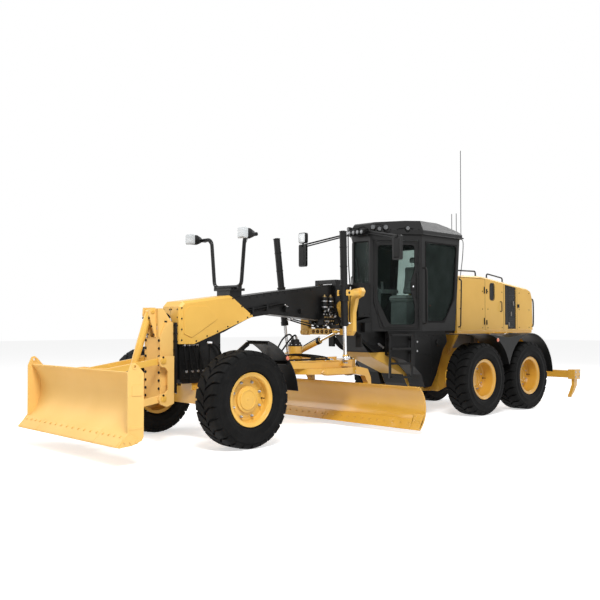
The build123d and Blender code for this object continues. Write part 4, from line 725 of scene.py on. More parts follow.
def hoses(name, body, table):
    """Clamped hoses with a crimped fitting at each end; each is (radius, places)."""
    tubes(name, body, HOSE, table)
    bm = bmesh.new()
    for radius, places in table:
        r = radius / 1000
        line = smooth_path([mm(*p) for p in places], 8)
        for end, inner in ((line[0], line[2]), (line[-1], line[-3])):
            crimp = [(0, -0.004), (r * 0.9, -0.004), (r * 0.9, 0.004), (r * 1.45, 0.006), (r * 1.45, r * 2.2),
                     (r * 1.25, r * 2.3), (r * 1.25, r * 4.2), (0, r * 4.2)]
            add_ring(bm, crimp, end, inner - end, 12)
    piece(f"{name}_fittings", bm, ZINC, body)


def rings(name, body, mat, table, segments=48):
    """Turned shapes; each is (centre, axis, profile of (radius, along) in mm)."""
    bm = bmesh.new()
    for centre, axis, profile in table:
        add_ring(bm, [(r / 1000, s / 1000) for r, s in profile], mm(*centre), axis, segments)
    return piece(name, bm, mat, body)


# Wheels

HALF_TRACK = 1078
HUB_Z = 640
MIDDLE_Y, REAR_Y = 5361.5, 6884.5
WHEEL_Y = {"front": 0, "middle": MIDDLE_Y, "rear": REAR_Y}
# Where the disc's face lies, the height of the cap, the nuts' circle and their number
WHEEL_FACE = {"front": (62, 50, 236, 8), "middle": (-40, 26, 190, 8), "rear": (-40, 26, 190, 8)}


def wheel_trim(place, side_name, side):
    """Ring steps at the rim's edge, a raised cap rim, wheel nuts and an air valve."""
    body = f"wheel_{place}_{side_name}"
    face, cap, circle_r, count = WHEEL_FACE[place]
    centre = (side * HALF_TRACK, WHEEL_Y[place], HUB_Z)
    axis = (side, 0, 0)
    steps = [
        (303, 110), (299, 112), (298, 158), (303, 163), (316, 163), (319, 166), (320, 172), (324, 175),
        (337, 175), (340, 178), (341, 184), (345, 188), (352, 188), (355, 184), (353, 176), (345, 170),
        (322, 158), (306, 150), (303, 110)]
    # Middle and rear rims take the darker yellow: painted shade in their dished faces.
    paint = YELLOW if place == "front" else YELLOW_PAINTED_SHADE
    rings(f"rim_steps_{place}_{side_name}", body, paint, [(centre, axis, steps)], 96)
    top = face + cap
    crown = [
        (172, face + 10), (174, face + 34), (168, face + 42), (140, face + 43), (138, top - 6),
        (136, top + 6), (128, top + 10), (116, top + 9), (112, top + 2), (60, top + 2), (56, top + 3),
        (52, top + 3), (20, top + 3), (16, top + 7), (0, top + 7)]
    seat_ring = [(152, face + 8), (158, face + 14), (230, face + 9), (236, face + 3), (232, face - 4)]
    weld = [(288, face - 2), (293, face + 8), (306, face + 12)]
    rings(f"rim_cap_{place}_{side_name}", body, paint, [
        (centre, axis, crown), (centre, axis, seat_ring), (centre, axis, weld)], 72)
    bm = bmesh.new()
    middle = mm(*centre)
    for i in range(count):
        angle = tau * (i + 0.5) / count
        spot = middle + Vector((
            side * (face + 11) / 1000, circle_r * sin(angle) / 1000, circle_r * cos(angle) / 1000))
        add_ring(bm, [
            (0.021, -0.004), (0.021, 0.003), (0.017, 0.005), (0.017, 0.020), (0.013, 0.023), (0.009, 0.024),
            (0.009, 0.033), (0.006, 0.036), (0, 0.036)], spot, axis, 6)
    piece(f"wheel_nuts_{place}_{side_name}", bm, NUT_STEEL, body)
    bm = bmesh.new()
    stem = middle + Vector((side * (face + 4) / 1000, 0.262, 0))
    add_ring(bm, [
        (0.010, 0), (0.010, 0.02), (0.006, 0.024), (0.006, 0.05), (0.008, 0.052), (0.008, 0.066),
        (0, 0.068)], stem, axis, 12)
    piece(f"air_valve_{place}_{side_name}", bm, MATT_BLACK, body)


# Front blade and its mast

def front_blade_trim():
    """Bolted cutting edges, embossed end plates, eye rings and a top bead."""
    body = "front_blade"
    start, down, proud = (-1830, 385), (-0.700, -0.714), (-0.714, 0.700)

    def on_face(along, out):
        """A place on the plate's foot: how far down it and how far out."""
        return (start[0] + down[0] * along + proud[0] * out, start[1] + down[1] * along + proud[1] * out)

    outline = [on_face(14, -1), on_face(14, 12), on_face(186, 14), on_face(204, 6), on_face(206, -1)]
    spans = ((-1256, -742, 4), (-736, 736, 10), (742, 1256, 4))
    # The blade's pieces take the paler yellow, with painted light.
    plates("front_cutting_edge", body, YELLOW_DULL_PAINTED_LIGHT, [(outline, *span[:2]) for span in spans])
    rows = []
    for x0, x1, count in spans:
        inset = (x1 - x0) / count / 2
        y, z = on_face(72, 12)
        rows.append(((x0 + inset, y, z), (x1 - inset, y, z), count, (0, proud[0], proud[1]), 15))
    bolt_rows("front_edge_bolts", body, YELLOW_DULL_PAINTED_LIGHT, rows)
    tubes("front_blade_top_bead", body, YELLOW_DULL_PAINTED_LIGHT, [(11, [
        (-1258, -1795, 1066), (0, -1795, 1066), (1258, -1795, 1066)])])
    plates("front_end_plate_pressings", body, YELLOW_DULL_PAINTED_LIGHT, both(
        ([(-1800, 800), (-1800, 925), (-1650, 925), (-1650, 800)], 1284, 1291),
        ([(-1838, 420), (-1838, 455), (-1655, 455), (-1655, 420)], 1284, 1289)))
    eye = [(18.5, -1), (18.5, 6), (24, 7), (32, 5), (34, -1)]
    rings("front_eye_rings", body, YELLOW_DULL_PAINTED_LIGHT, both(
        ((1285, -1765, 1135), (1, 0, 0), eye), ((1260, -1765, 1135), (-1, 0, 0), eye)), 32)
    plates("front_end_wear_bars", body, YELLOW_DULL_PAINTED_LIGHT, both(([
        (-1968, 236), (-1850, 392), (-1832, 380), (-1700, 300), (-1720, 262), (-1800, 246),
        (-1950, 230)], 1283, 1297)))
    bolt_rows("front_end_bolts", body, YELLOW_DULL_PAINTED_LIGHT, both((
        (1297, -1900, 292), (1297, -1750, 276), 3, (1, 0, 0), 13)), slot="")


def mast_trim():
    """Bolts, pins and hoses of the front blade's mast."""
    body = FRONT
    bolt_rows("mast_bolts", body, MATT_BLACK, both(
        ((160, -691, 650), (160, -691, 1400), 8, (0, -1, 0), 15),
        ((210, -481, 720), (210, -481, 1610), 9, (0, -1, 0), 14),
        ((71, -712, 1480), (71, -794, 1700), 3, (0, -0.9, -0.3), 11),
        ((151, -560, 1500), (151, -560, 1600), 2, (1, 0, 0), 13),
        one((287, -701, 673), (1, 0, 0), 12),
        one((287, -706, 1177), (1, 0, 0), 12)))
    cap = [(46, 0), (46, 8), (40, 10), (28, 10), (26, 16), (0, 16)]
    rings("mast_pin_caps", body, YELLOW, both(
        ((279, -695, 629), (1, 0, 0), cap),
        ((279, -700, 1133), (1, 0, 0), cap),
        ((84, -745, 1785), (1, 0, 0), [(30, -1), (30, 6), (22, 8), (20, 12), (0, 12)])), 32)
    hoses("mast_hoses", body, [
        (13, [
            (-110, -470, 1655), (-120, -520, 1760), (-122, -640, 1800), (-116, -690, 1700),
            (-110, -676, 1560)]),
        (13, [
            (-140, -470, 1655), (-146, -540, 1730), (-148, -660, 1740), (-140, -705, 1600),
            (-120, -695, 1440)]),
        (15, [(-188, -440, 1380), (-214, -500, 1320), (-214, -560, 1180), (-196, -600, 1040)]),
        (15, [(-188, -440, 1350), (-238, -500, 1260), (-238, -556, 1110), (-196, -590, 960)]),
        (13, [
            (110, -470, 1655), (118, -520, 1740), (120, -630, 1760), (114, -680, 1640), (108, -676, 1540)])])
    boxes("mast_hose_clamps", body, MATT_BLACK, [
        (-165, -90, -600, -560, 1640, 1664), (90, 160, -600, -560, 1640, 1664),
        (-190, -150, -620, -580, 1020, 1060)])


def nose_trim():
    """Skins and pressings on the nose cover, its bolts and its seam."""
    body = FRONT
    skins = [(x0, x1, -400, -396, 1362, 1838) for x0, x1 in ((3, 178), (-178, -3))]
    boxes("nose_front_skins", body, YELLOW, skins, bevel=0.0025)
    plates("nose_side_pressings", body, YELLOW, both(([
        (-330, 1480), (-330, 1800), (-230, 1870), (60, 1870), (250, 1690),
        (-200, 1430)], 217, 227)), bevel=0.007)
    bolt_rows("nose_bolts", body, MATT_BLACK, both(
        ((165, -401, 1380), (165, -401, 1820), 5, (0, -1, 0), 9),
        ((20, -401, 1380), (20, -401, 1820), 3, (0, -1, 0), 8),
        ((219, -120, 1385), (219, 800, 1715), 6, (1, 0, 0), 9),
        ((219, -365, 1400), (219, -365, 1840), 4, (1, 0, 0), 9),
        ((219, 520, 1985), (219, 860, 1760), 3, (1, 0, 0), 9)))
    boxes("nose_top_seam", body, MATT_BLACK, [(-2.5, 2.5, -398.5, -396.5, 1350, 1850)], bevel=0)


# Main frame

def boom_line(y, low=False):
    """Height of the main frame's top, or foot, at a place along it."""
    top = ((-290, 1890), (1378, 2105), (2837, 2275), (3490, 2275))
    foot = ((350, 1480), (911, 1715), (1297, 1766), (2670, 1655), (3100, 1655))
    line = foot if low else top
    for (y0, z0), (y1, z1) in zip(line, line[1:]):
        if y <= y1:
            return z0 + (z1 - z0) * (y - y0) / (y1 - y0)
    return line[-1][1]


def boom_trim():
    """Bolts, welds, accumulators, the valve bank and hoses on the boom."""
    body = FRONT
    rows, welds = [], []
    for side in BOTH:
        x = side * 153
        for y in range(900, 2300, 140):
            rows.append(one((x, y, boom_line(y) - 34), (side, 0, 0), 10))
        welds.append((7, [(x, y, boom_line(y) - 3) for y in (480, 900, 1378, 2000, 2640)]))
        welds.append((7, [(x, y, boom_line(y, True) + 5) for y in (400, 911, 1297, 2000, 2640)]))
        for z in (1780, 2260):
            rows.append(((side * 291, 3150, z), (side * 291, 3420, z), 3, (side, 0, 0), 9))
    bolt_rows("boom_bolts", body, MATT_BLACK, rows)
    tubes("boom_welds", body, BLACK, welds)
    caps = []
    for y in (2410, 2545):
        caps.append(((212, y, 2048), (0, 0, 1), [
            (38, 0), (38, 8), (20, 12), (20, 26), (14, 28), (14, 40), (0, 42)]))
        caps.append(((212, y, 1832), (0, 0, -1), [(22, 0), (22, 14), (14, 16), (14, 34), (0, 34)]))
    rings("accumulator_caps", body, GOLD, caps, 24)
    rings("accumulator_bands", body, ZINC, [
        ((212, y, z), (0, 0, 1), [(49, 0), (52.5, 0), (52.5, 16), (49, 16)])
        for y in (2410, 2545) for z in (1880, 1975)], 40)
    rows = [((258, 2350, z), (258, 2605, z), 5, (1, 0, 0), 9) for z in (1618, 1772)]
    bolt_rows("valve_bolts", body, ZINC, rows)
    boxes("valve_sections", body, MATT_BLACK, [
        (150, 262, y, y + 34, 1630, 1760) for y in range(2345, 2600, 50)])
    rings("valve_ports", body, GOLD, [
        ((262, y + 17, z), (1, 0, 0), [(13, 0), (13, 8), (9, 9), (9, 22), (0, 22)])
        for y in range(2345, 2600, 50) for z in (1665, 1725)], 12)
    boxes("boom_terminal_box", body, MATT_BLACK, [
        (152, 215, 1560, 1680, 1800, 1880), (152, 200, 1900, 1960, 1780, 1850)])
    hoses("boom_hoses_near", body, [
        (11, [(284, 2362, 1665), (330, 2330, 1640), (300, 2200, 1600), (200, 2000, 1640), (168, 1700, 1700)]),
        (11, [(284, 2412, 1665), (345, 2380, 1610), (315, 2230, 1560), (214, 2010, 1600), (168, 1640, 1690)]),
        (11, [(284, 2462, 1725), (322, 2440, 1780), (250, 2400, 1815), (212, 2410, 1800)]),
        (11, [(284, 2562, 1725), (320, 2570, 1780), (250, 2560, 1812), (212, 2545, 1800)]),
        (12, [(168, 1640, 1880), (186, 1500, 1900), (182, 1200, 1850), (178, 900, 1800), (166, 700, 1760)]),
        (12, [(168, 1600, 1900), (200, 1480, 1930), (196, 1180, 1880), (190, 900, 1830), (166, 660, 1800)]),
    ])
    hoses("boom_hoses_far", body, [
        (12, [
            (-168, 2560, 1850), (-196, 2300, 1800), (-190, 1800, 1800), (-186, 1200, 1800),
            (-166, 760, 1760)]),
        (12, [
            (-168, 2560, 1820), (-214, 2280, 1770), (-208, 1800, 1768), (-200, 1200, 1764),
            (-166, 760, 1728)])])
    boxes("boom_hose_clamps", body, MATT_BLACK, [
        (150, 212, y, y + 34, z - 40, z + 52) for y, z in ((1180, 1856), (900, 1806))] + [
        (-224, -150, y, y + 34, z - 46, z + 30) for y, z in ((1800, 1790), (1200, 1790), (2290, 1790))])


def lamp_post_trim():
    """Serrated edges on the step, post clamps and lamp brackets' bolts."""
    body = FRONT
    bm = bmesh.new()
    for y in (500, 760):
        for i in range(20):
            x = -190 + i * 20
            add_plate(bm, [
                mm(x - 8, y - 4, 2129), mm(x + 8, y - 4, 2129), mm(x + 3, y - 4, 2141),
                mm(x - 3, y - 4, 2141)], Vector((0, 0.008, 0)))
    for i in range(9):
        for j in range(5):
            add_ring(bm, [(0.017, -0.001), (0.014, 0.006), (0.009, 0.006), (0.008, -0.001)],
                     mm(-160 + i * 40, 540 + j * 46, 2130), (0, 0, 1), 12)
    piece("step_serration", bm, BLACK, body)
    boxes("post_clamps", body, BLACK, both((250, 290, 568, 632, 2124, 2188)))
    bolt_rows("post_bolts", body, ZINC, both(((270, 585, 2189), (270, 615, 2189), 2, (0, 0, 1), 8)))


def lamp_front(name, body, centre, radius, axis=(0, -1, 0), lens=LENS):
    """A ribbed lens in a black bezel."""
    r = radius
    rings(f"{name}_bezel", body, MATT_BLACK, [(centre, axis, [
        (r * 0.95, -4), (r * 1.02, 0), (r * 1.03, 8), (r * 0.97, 12), (r * 0.88, 11), (r * 0.86, 2)])], 40)
    rings(f"{name}_lens", body, lens, [(centre, axis, [
        (r * 0.88, 1), (r * 0.87, 6), (r * 0.7, 9), (r * 0.4, 11.5), (0, 12.5)])], 40)


POST_LAMP_X, POST_LAMP_Z = 620, 2890


def lamps():
    """Lenses and covers of the post lamps, their wires, and the four lamps in the brow."""
    for slot in frame["nodes"]["work_lamps"].material_slots:
        slot.material = MATT_BLACK
    for name, side in SIDES:
        x, z = side * POST_LAMP_X, POST_LAMP_Z
        lamp_front(f"post_lamp_{name}", FRONT, (x, 400, z), 75)
        bm = bmesh.new()
        levels = []
        for y, half, tall in ((402, 80, 72), (352, 86, 76), (330, 62, 52)):
            line = rounded([(-half, -tall), (half, -tall), (half, tall), (-half, tall)], 20, 3)
            levels.append([bm.verts.new(mm(x + p.x, y, z + p.y)) for p in line])
        for a, b in zip(levels, levels[1:]):
            skin(bm, a, b)
        bm.faces.new(levels[-1])
        bm.faces.new(list(reversed(levels[0])))
        piece(f"post_lamp_cover_{name}", bm, PALE_LENS, FRONT)
    for i, x in enumerate((-140, -47, 47, 140)):
        lamp_front(f"brow_lamp_{i + 1}", FRONT, (x, 3379.7, 3185), 42, lens=DIM_LENS)
    for name, side in SIDES:
        hoses(f"post_lamp_wire_{name}", FRONT, [(4, [
            (side * 612, 562, 2870), (side * 560, 606, 2858), (side * 470, 603, 2858),
            (side * 404, 612, 2780)])])


# Lift linkage

def along(top, low, distance):
    """The place so far from the first of two places, towards the second."""
    line = Vector(low) - Vector(top)
    return Vector(top) + line.normalized() * distance


def beside(top, low, table):
    """Places beside a line; each is (how far along it, offset in x, y and z)."""
    return [along(top, low, s) + Vector(offset) for s, *offset in table]


def lift_trim():
    """Glands, pipes and collars of the lift cylinders, and the saddle's bolts."""
    for name, side in SIDES:
        top, ball = (side * 715, 2332, 2100), (side * 660, 2415, 1072)
        axis = Vector(ball) - Vector(top)
        body = f"lift_barrel_{name}"
        gland = along(top, ball, 515)
        head = along(top, ball, -940)
        rings(f"lift_gland_{name}", body, BLACK, [
            (gland, axis, [(62, -70), (62, -8), (56, 0), (36, 1), (30, 1), (30, -6)]),
            (head, -axis, [(55, -1), (60, 0), (60, 14), (52, 18), (34, 19), (32, 24), (0, 24)]),
            (along(top, ball, -132), axis, [(67, 0), (71, 4), (71, 22), (67, 26)]),
            (along(top, ball, 106), axis, [(67, 0), (71, 4), (71, 22), (67, 26)]),
        ], 40)
        hoses(f"lift_pipe_{name}", body, [
            (9, beside(top, ball, [
                (470, side * 48, 30, 0), (460, side * 66, 44, 0), (300, side * 66, 44, 0),
                (0, side * 74, 62, 0), (-60, side * 60, 62, 0)])),
            (9, beside(top, ball, [
                (-900, side * 44, 30, 0), (-890, side * 62, 44, 0), (-500, side * 62, 44, 0),
                (-150, side * 78, 50, 0), (-60, side * 72, 66, 0)]))])
        rings(f"lift_pipe_clamps_{name}", body, MATT_BLACK, [
            (along(top, ball, s), axis, [(55, 0), (60, 0), (60, 18), (55, 18)])
            for s in (-720, -420, 320)], 40)
        rod_body = f"lift_rod_{name}"
        rings(f"lift_cup_collar_{name}", rod_body, YELLOW, [
            (tuple(along(ball, top, 44)), -axis, [(29, 0), (40, 2), (42, 14), (36, 24), (29, 26)])], 32)
        bolt_rows(f"lift_fork_bolts_{name}", FRONT, MATT_BLACK, [
            one((side * x, 2406, z), (0, -1, 0), 13) for x in (625, 805) for z in (2068, 2132)])
    rows = [
        one((x, 2649, z), (0, -1, 0), 15)
        for x in (-205, 205) for z in (1640, 1740, 1840, 1940, 2040, 2140, 2240)]
    rows += [one((x, 2664, 1490), (0, -1, 0), 12) for x in (-440, 440)]
    bolt_rows("saddle_bolts", FRONT, MATT_BLACK, rows)
    rings("link_bar_bushes", FRONT, MATT_BLACK, [
        ((x, 2665, 1490), (0, -1, 0), [(22, 0), (22, 5), (31, 5), (33, 0)])
        for x in (-300, -200, -100, 0, 100, 200)], 24)


# Drawbar, circle and moldboard

def drawbar_trim():
    """The circle motor, hoses, welds and bolts on the drawbar."""
    body = "drawbar"
    rings("circle_motor", body, BLACK, [((0, 1960, 1268), (0, 0, 1), [
        (112, 0), (116, 4), (116, 20), (96, 24), (92, 60), (70, 66), (68, 100), (56, 108), (0, 108)])], 48)
    bm = bmesh.new()
    for i in range(10):
        spot = mm(104 * cos(tau * i / 10), 1960 + 104 * sin(tau * i / 10), 1289)
        add_bolt(bm, spot, (0, 0, 1), 0.009)
    piece("circle_motor_bolts", bm, ZINC, body)
    hoses("drawbar_hoses", body, [
        (13, [
            (40, 1960, 1380), (60, 1900, 1440), (90, 1750, 1360), (60, 1500, 1110), (40, 1200, 1085),
            (34, 800, 1078)]),
        (13, [
            (-40, 1960, 1380), (-60, 1890, 1450), (-60, 1740, 1370), (-30, 1500, 1115), (-20, 1200, 1090),
            (-14, 800, 1078)]),
        *both((13, [
            (560, 2230, 1062), (520, 2060, 1075), (400, 1700, 1070), (240, 1300, 1068), (80, 900, 1066)]))])
    boxes("drawbar_hose_clamps", body, MATT_BLACK, [
        (-46, 66, 1190, 1220, 1050, 1106), (-40, 60, 860, 890, 1050, 1098)])
    # The welds take the darker yellow of the drawbar, with painted shade.
    tubes("drawbar_edge_welds", body, YELLOW_PAINTED_SHADE, both((8, [
        (70, 560, 1050), (110, 900, 1050), (470, 1650, 1050), (600, 1950, 1050),
        (640, 2300, 1050)])), steps=2)
    bolt_rows("drawbar_bolts", body, ZINC, both(
        ((560, 2080, 1051), (575, 2220, 1051), 2, (0, 0, 1), 16),
        ((520, 2560, 1051), (380, 2820, 1051), 3, (0, 0, 1), 16),
        one((360, 1600, 1051), (0, 0, 1), 16)))
    rings("ball_studs", body, ZINC, both(
        ((660, 2415, 1008), (0, 0, 1), [(40, -2), (40, 8), (24, 14), (16, 20)])), 32)


def tail_trim():
    """Black covers over the frame's tail, yellow low plates, the saddle's black cap and hanging hoses."""
    for slot in frame["nodes"]["frame_tail"].material_slots:
        slot.material = BLACK
    body = FRONT
    plates("tail_low_plates", body, YELLOW, both(([
        (3425, 1130), (3500, 1062), (4340, 737), (4432, 562), (4562, 422), (4923, 422),
        (4923, 1130)], 249, 256)), bevel=0.004)
    bm = bmesh.new()
    line = [(3420, 1137), (3499, 1059), (4339, 734)]
    for (y0, z0), (y1, z1) in zip(line, line[1:]):
        add_plate(bm, [mm(-256, y0, z0), mm(256, y0, z0), mm(256, y1, z1), mm(-256, y1, z1)],
                  Vector((0, -0.004, -0.004)))
    piece("tail_low_skin", bm, YELLOW, body)
    boxes("saddle_cap", body, BLACK, [
        (-238, 238, 2642, 2758, 2330, 2338), (152, 238, 2641, 2649, 1600, 2332),
        (-238, -152, 2641, 2649, 1600, 2332), (-152, 152, 2641, 2649, 2266, 2332),
        (232, 242, 2645, 2755, 1640, 2334), (-242, -232, 2645, 2755, 1640, 2334)], bevel=0.004)
    bolt_rows("tail_bolts", body, MATT_BLACK, both(*(one((251, y, z), (1, 0, 0), 12) for y, z in (
        (3250, 1480), (3420, 1300), (3600, 1400), (3800, 1380), (4000, 1390), (4200, 1380), (3480, 1560)))))
    runs = []
    for side in BOTH:
        for k in range(6):
            out = 262 + 16 * k
            runs.append((11 + (k % 2) * 2, [
                (side * 240, 2770 + 18 * k, 1700 - 10 * k), (side * out, 2880 + 20 * k, 1600 - 16 * k),
                (side * (out + 12), 3080 + 24 * k, 1440 - 22 * k), (side * out, 3330 + 20 * k, 1290 - 24 * k),
                (side * 262, 3560 + 20 * k, 1240 - 16 * k), (side * 254, 3700 + 24 * k, 1280 - 12 * k)]))
    hoses("tail_hoses", body, runs)
    boxes("tail_hose_clamps", body, MATT_BLACK, both((250, 372, 3100, 3140, 1230, 1450)), bevel=0.004)
    boxes("tail_valve_box", body, BLACK, both((250, 330, 3250, 3400, 1480, 1640)), bevel=0.006)


def brow_trim():
    """Work lamps, brackets and wiring round the roof's front corners, and a lamp over the far mirror."""
    body = FRONT
    across, back = CAB_SIDE[0] - CAB_FRONT[0], CAB_SIDE[1] - CAB_FRONT[1]
    length = sqrt(across ** 2 + back ** 2)
    normal = (back / length, -across / length)
    for name, side in SIDES:
        for i, (run, z, r) in enumerate(((40, 3262, 46), (150, 3236, 38), (260, 3262, 46), (640, 3250, 40))):
            spot = door_place(side, run, z, 70)
            axis = Vector((side * 0.35, -0.93, -0.12))
            if i:
                axis = Vector((side * normal[0], normal[1], -0.18)).normalized()
            bm = bmesh.new()
            add_ring(bm, [
                (0, 0.075), (r * 0.0005, 0.075), (r * 0.0009, 0.055), (r * 0.001, 0.02),
                (r * 0.00103, -0.004), (r * 0.0009, -0.006), (r * 0.00088, 0.002),
                (0, 0.002)], spot, -axis, 28)
            add_rod(bm, spot - axis * 0.05, door_place(side, run, 3205, 28), 0.010, 10)
            add_box(bm, door_place(side, run, 3204, 26) - Vector((0.03, 0.03, 0.012)),
                    door_place(side, run, 3204, 26) + Vector((0.03, 0.03, 0.012)))
            piece(f"corner_lamp_{name}_{i + 1}", bm, MATT_BLACK, body)
            bm = bmesh.new()
            add_ring(bm, [
                (r * 0.00088, 0.001), (r * 0.0008, 0.005), (r * 0.0004, 0.009),
                (0, 0.010)], spot + axis * 0.001, axis, 28)
            piece(f"corner_lens_{name}_{i + 1}", bm, DIM_LENS, body)
        bm = bmesh.new()
        for radius, places in (
                (7, [(10, 3225, 20), (60, 3300, 40), (150, 3310, 44), (230, 3290, 40), (330, 3228, 16)]),
                (6, [(60, 3215, 30), (100, 3170, 70), (200, 3160, 74), (300, 3175, 60), (360, 3210, 20)]),
                (6, [(420, 3222, 14), (520, 3246, 34), (640, 3262, 30), (760, 3240, 20), (860, 3218, 14)])):
            add_tube(bm, smooth_path([door_place(side, *place) for place in places], 6), radius / 1000, 8)
        for run in (20, 130, 240, 350, 470, 600, 720, 840):
            spot = door_place(side, run, 3222, 20)
            add_box(bm, spot - Vector((0.014, 0.014, 0.010)), spot + Vector((0.014, 0.014, 0.014)))
        piece(f"brow_cables_{name}", bm, HOSE, body)
        tubes(f"roof_side_rod_{name}", body, BLACK, [(7, [
            (side * 792, 5366, 3150), (side * 806, 5392, 3080), (side * 800, 5376, 2800),
            (side * 778, 5330, 2460), (side * 764, 5302, 2440)])])
    bm = bmesh.new()
    for radius, places in (
            (0.009, [
                (-200, 3470, 3236), (-120, 3440, 3270), (0, 3436, 3252), (120, 3440, 3274),
                (200, 3470, 3236)]),
            (0.007, [
                (-190, 3460, 3150), (-100, 3400, 3130), (0, 3420, 3136), (100, 3396, 3126),
                (190, 3460, 3150)])):
        add_tube(bm, smooth_path([mm(*place) for place in places]), radius, 8)
    piece("front_brow_cables", bm, HOSE, body)
    x = -MIRROR_X
    bm = bmesh.new()
    outline = rounded([(x - 88, 3060), (x + 88, 3060), (x + 88, 3250), (x - 88, 3250)], 40)
    add_plate(bm, [mm(p.x, 3150, p.y) for p in outline], Vector((0, 0.075, 0)))
    add_rod(bm, mm(x, 3182, 3030), mm(x, 3182, 3070), 0.016, 12)
    piece("far_lamp_body", bm, MATT_BLACK, body, bevel=0.01)
    bm = bmesh.new()
    inner = rounded([(x - 76, 3072), (x + 76, 3072), (x + 76, 3238), (x - 76, 3238)], 34)
    low = [bm.verts.new(mm(p.x, 3150, p.y)) for p in inner]
    high = [bm.verts.new(mm(x + (p.x - x) * 0.8, 3138, 3155 + (p.y - 3155) * 0.8)) for p in inner]
    bm.faces.new(high)
    skin(bm, low, high)
    piece("far_lamp_lens", bm, LENS, body)


def cluster_trim():
    """Hoses and fittings in front of the saddle, on the nose's black frame and on the drawbar."""
    body = FRONT
    runs, ribs = [], []
    for side in BOTH:
        for k in range(5):
            out = 250 + 9 * (k % 3)
            runs.append((11 + 2 * (k % 2), [
                (side * 236, 2560 - 34 * k, 1700 + 40 * k), (side * (out + 20), 2572 - 34 * k, 1720 + 52 * k),
                (side * (out + 44), 2640 - 20 * k, 1660 + 60 * k),
                (side * (out + 40), 2700 - 8 * k, 1560 + 34 * k), (side * (out + 10), 2790, 1500 + 24 * k),
                (side * 245, 2850 + 14 * k, 1600 + 10 * k)]))
        for k in range(4):
            runs.append((12, [
                (side * 150, -310 + 74 * k, 1330), (side * 176, -302 + 78 * k, 1322),
                (side * 190, -290 + 84 * k, 1220), (side * 184, -270 + 92 * k, 1080),
                (side * 168, -250 + 98 * k, 980), (side * 150, -240 + 98 * k, 975)]))
        runs.append((17, [
            (side * 150, 120, 1360), (side * 186, 160, 1350), (side * 214, 250, 1290),
            (side * 206, 330, 1150), (side * 172, 360, 1010), (side * 140, 352, 960)]))
        ribs += [(side * 151, side * 163, y, y + 14, 820, 1340) for y in (-352, -190, -20, 150, 330)]
        ribs += [(side * 151, side * 159, -352, 340, z, z + 12) for z in (860, 1120)]
    hoses("saddle_front_hoses", body, runs)
    boxes("nose_frame_ribs", body, BLACK, ribs, bevel=0.002)
    bolt_rows("nose_frame_bolts", body, MATT_BLACK, both(*(
        ((152, y, 900), (152, y, 1240), 3, (1, 0, 0), 11) for y in range(-270, 211, 160))))
    boxes("saddle_valve_block", body, BLACK, both((240, 300, 2560, 2640, 1610, 1700)), bevel=0.006)
    rings("saddle_bosses", body, YELLOW, both(
        *(
            ((x, 2659, z), (0, -1, 0), [(r, -1), (r + 2, 3), (r, 8), (r * 0.6, 10), (r * 0.55, 4), (0, 4)])
            for x, z, r in (
                (720, 2110, 58), (570, 2100, 40), (560, 1480, 46), (470, 1485, 46), (260, 1850, 40)))), 36)
    body = "drawbar"
    runs = []
    for k in range(4):
        x = -130 + 86 * k
        runs.append((11, [
            (x, 1300, 1052), (x + 8, 1340, 1092 + 5 * k), (x + 30, 1560, 1104 + 7 * k),
            (x + 60, 1760, 1122 + 9 * k), (x + 190, 1980, 1112 + 8 * k), (x + 330, 2180, 1084 + 5 * k),
            (x + 345, 2230, 1052)]))
    hoses("drawbar_upper_hoses", body, runs)
    boxes("drawbar_blocks", body, BLACK, [
        (-90, 90, 1420, 1530, 1051, 1140), (300, 420, 2000, 2090, 1051, 1120),
        (-420, -300, 2000, 2090, 1051, 1120)], bevel=0.006)
    # The ribs take the darker yellow of the drawbar, with painted shade.
    boxes("drawbar_ribs", body, YELLOW_PAINTED_SHADE, both(
        (440, 452, 1980, 2360, 1051, 1088), (250, 262, 2120, 2640, 1051, 1092)))


def door_beads():
    """Round double outline on the door frames, and a red safety tool inside the side windows."""
    for name, side in SIDES:
        body = f"door_{name}"
        bm = bmesh.new()
        for outline, radius in (
                ([(66, 3034), (62, 2014), (176, 1536), (830, 1536), (830, 3034)], 0.007),
                ([(96, 3006), (92, 2020), (204, 1562), (806, 1562), (806, 3006)], 0.006)):
            line = rounded(outline, 64, 5)
            places = [door_place(side, p.x, p.y, 1) for p in line]
            add_tube(bm, places + [places[0]], radius, 8)
        piece(f"door_beads_{name}", bm, BLACK, body)
        bm = bmesh.new()
        x = side * 738
        add_box(bm, mm(x - 6, 4420, 1790), mm(x + 6, 4450, 1930))
        add_rod(bm, mm(x, 4390, 1920), mm(x, 4492, 1932), 0.015, 12)
        add_rod(bm, mm(x, 4428, 1792), mm(x, 4470, 1770), 0.012, 12)
        piece(f"safety_tool_{name}", bm, RED_DOT, FRONT, bevel=0.003)


def reflectors():
    """Small orange discs on the mudguards."""
    rings("rear_fender_reflectors", REAR, ORANGE_DOT, both(
        ((1297, 5744, 1327), (1, 0, 0), [(34, -4), (34, 4), (30, 8), (0, 9)])), 32)
    for name, side in SIDES:
        rings(f"front_fender_reflector_{name}", f"knuckle_{name}", ORANGE_DOT, [
            ((side * 1292, 606, 1163), (side * 0.8, 0.4, 0.3), [(30, -12), (30, 6), (26, 10), (0, 11)])], 32)


CIRCLE_Y = 2300
TEETH, TEETH_Z = 64, (0.862, 0.930)
TIP_R, ROOT_R, BACK_R = 0.604, 0.638, 0.6405


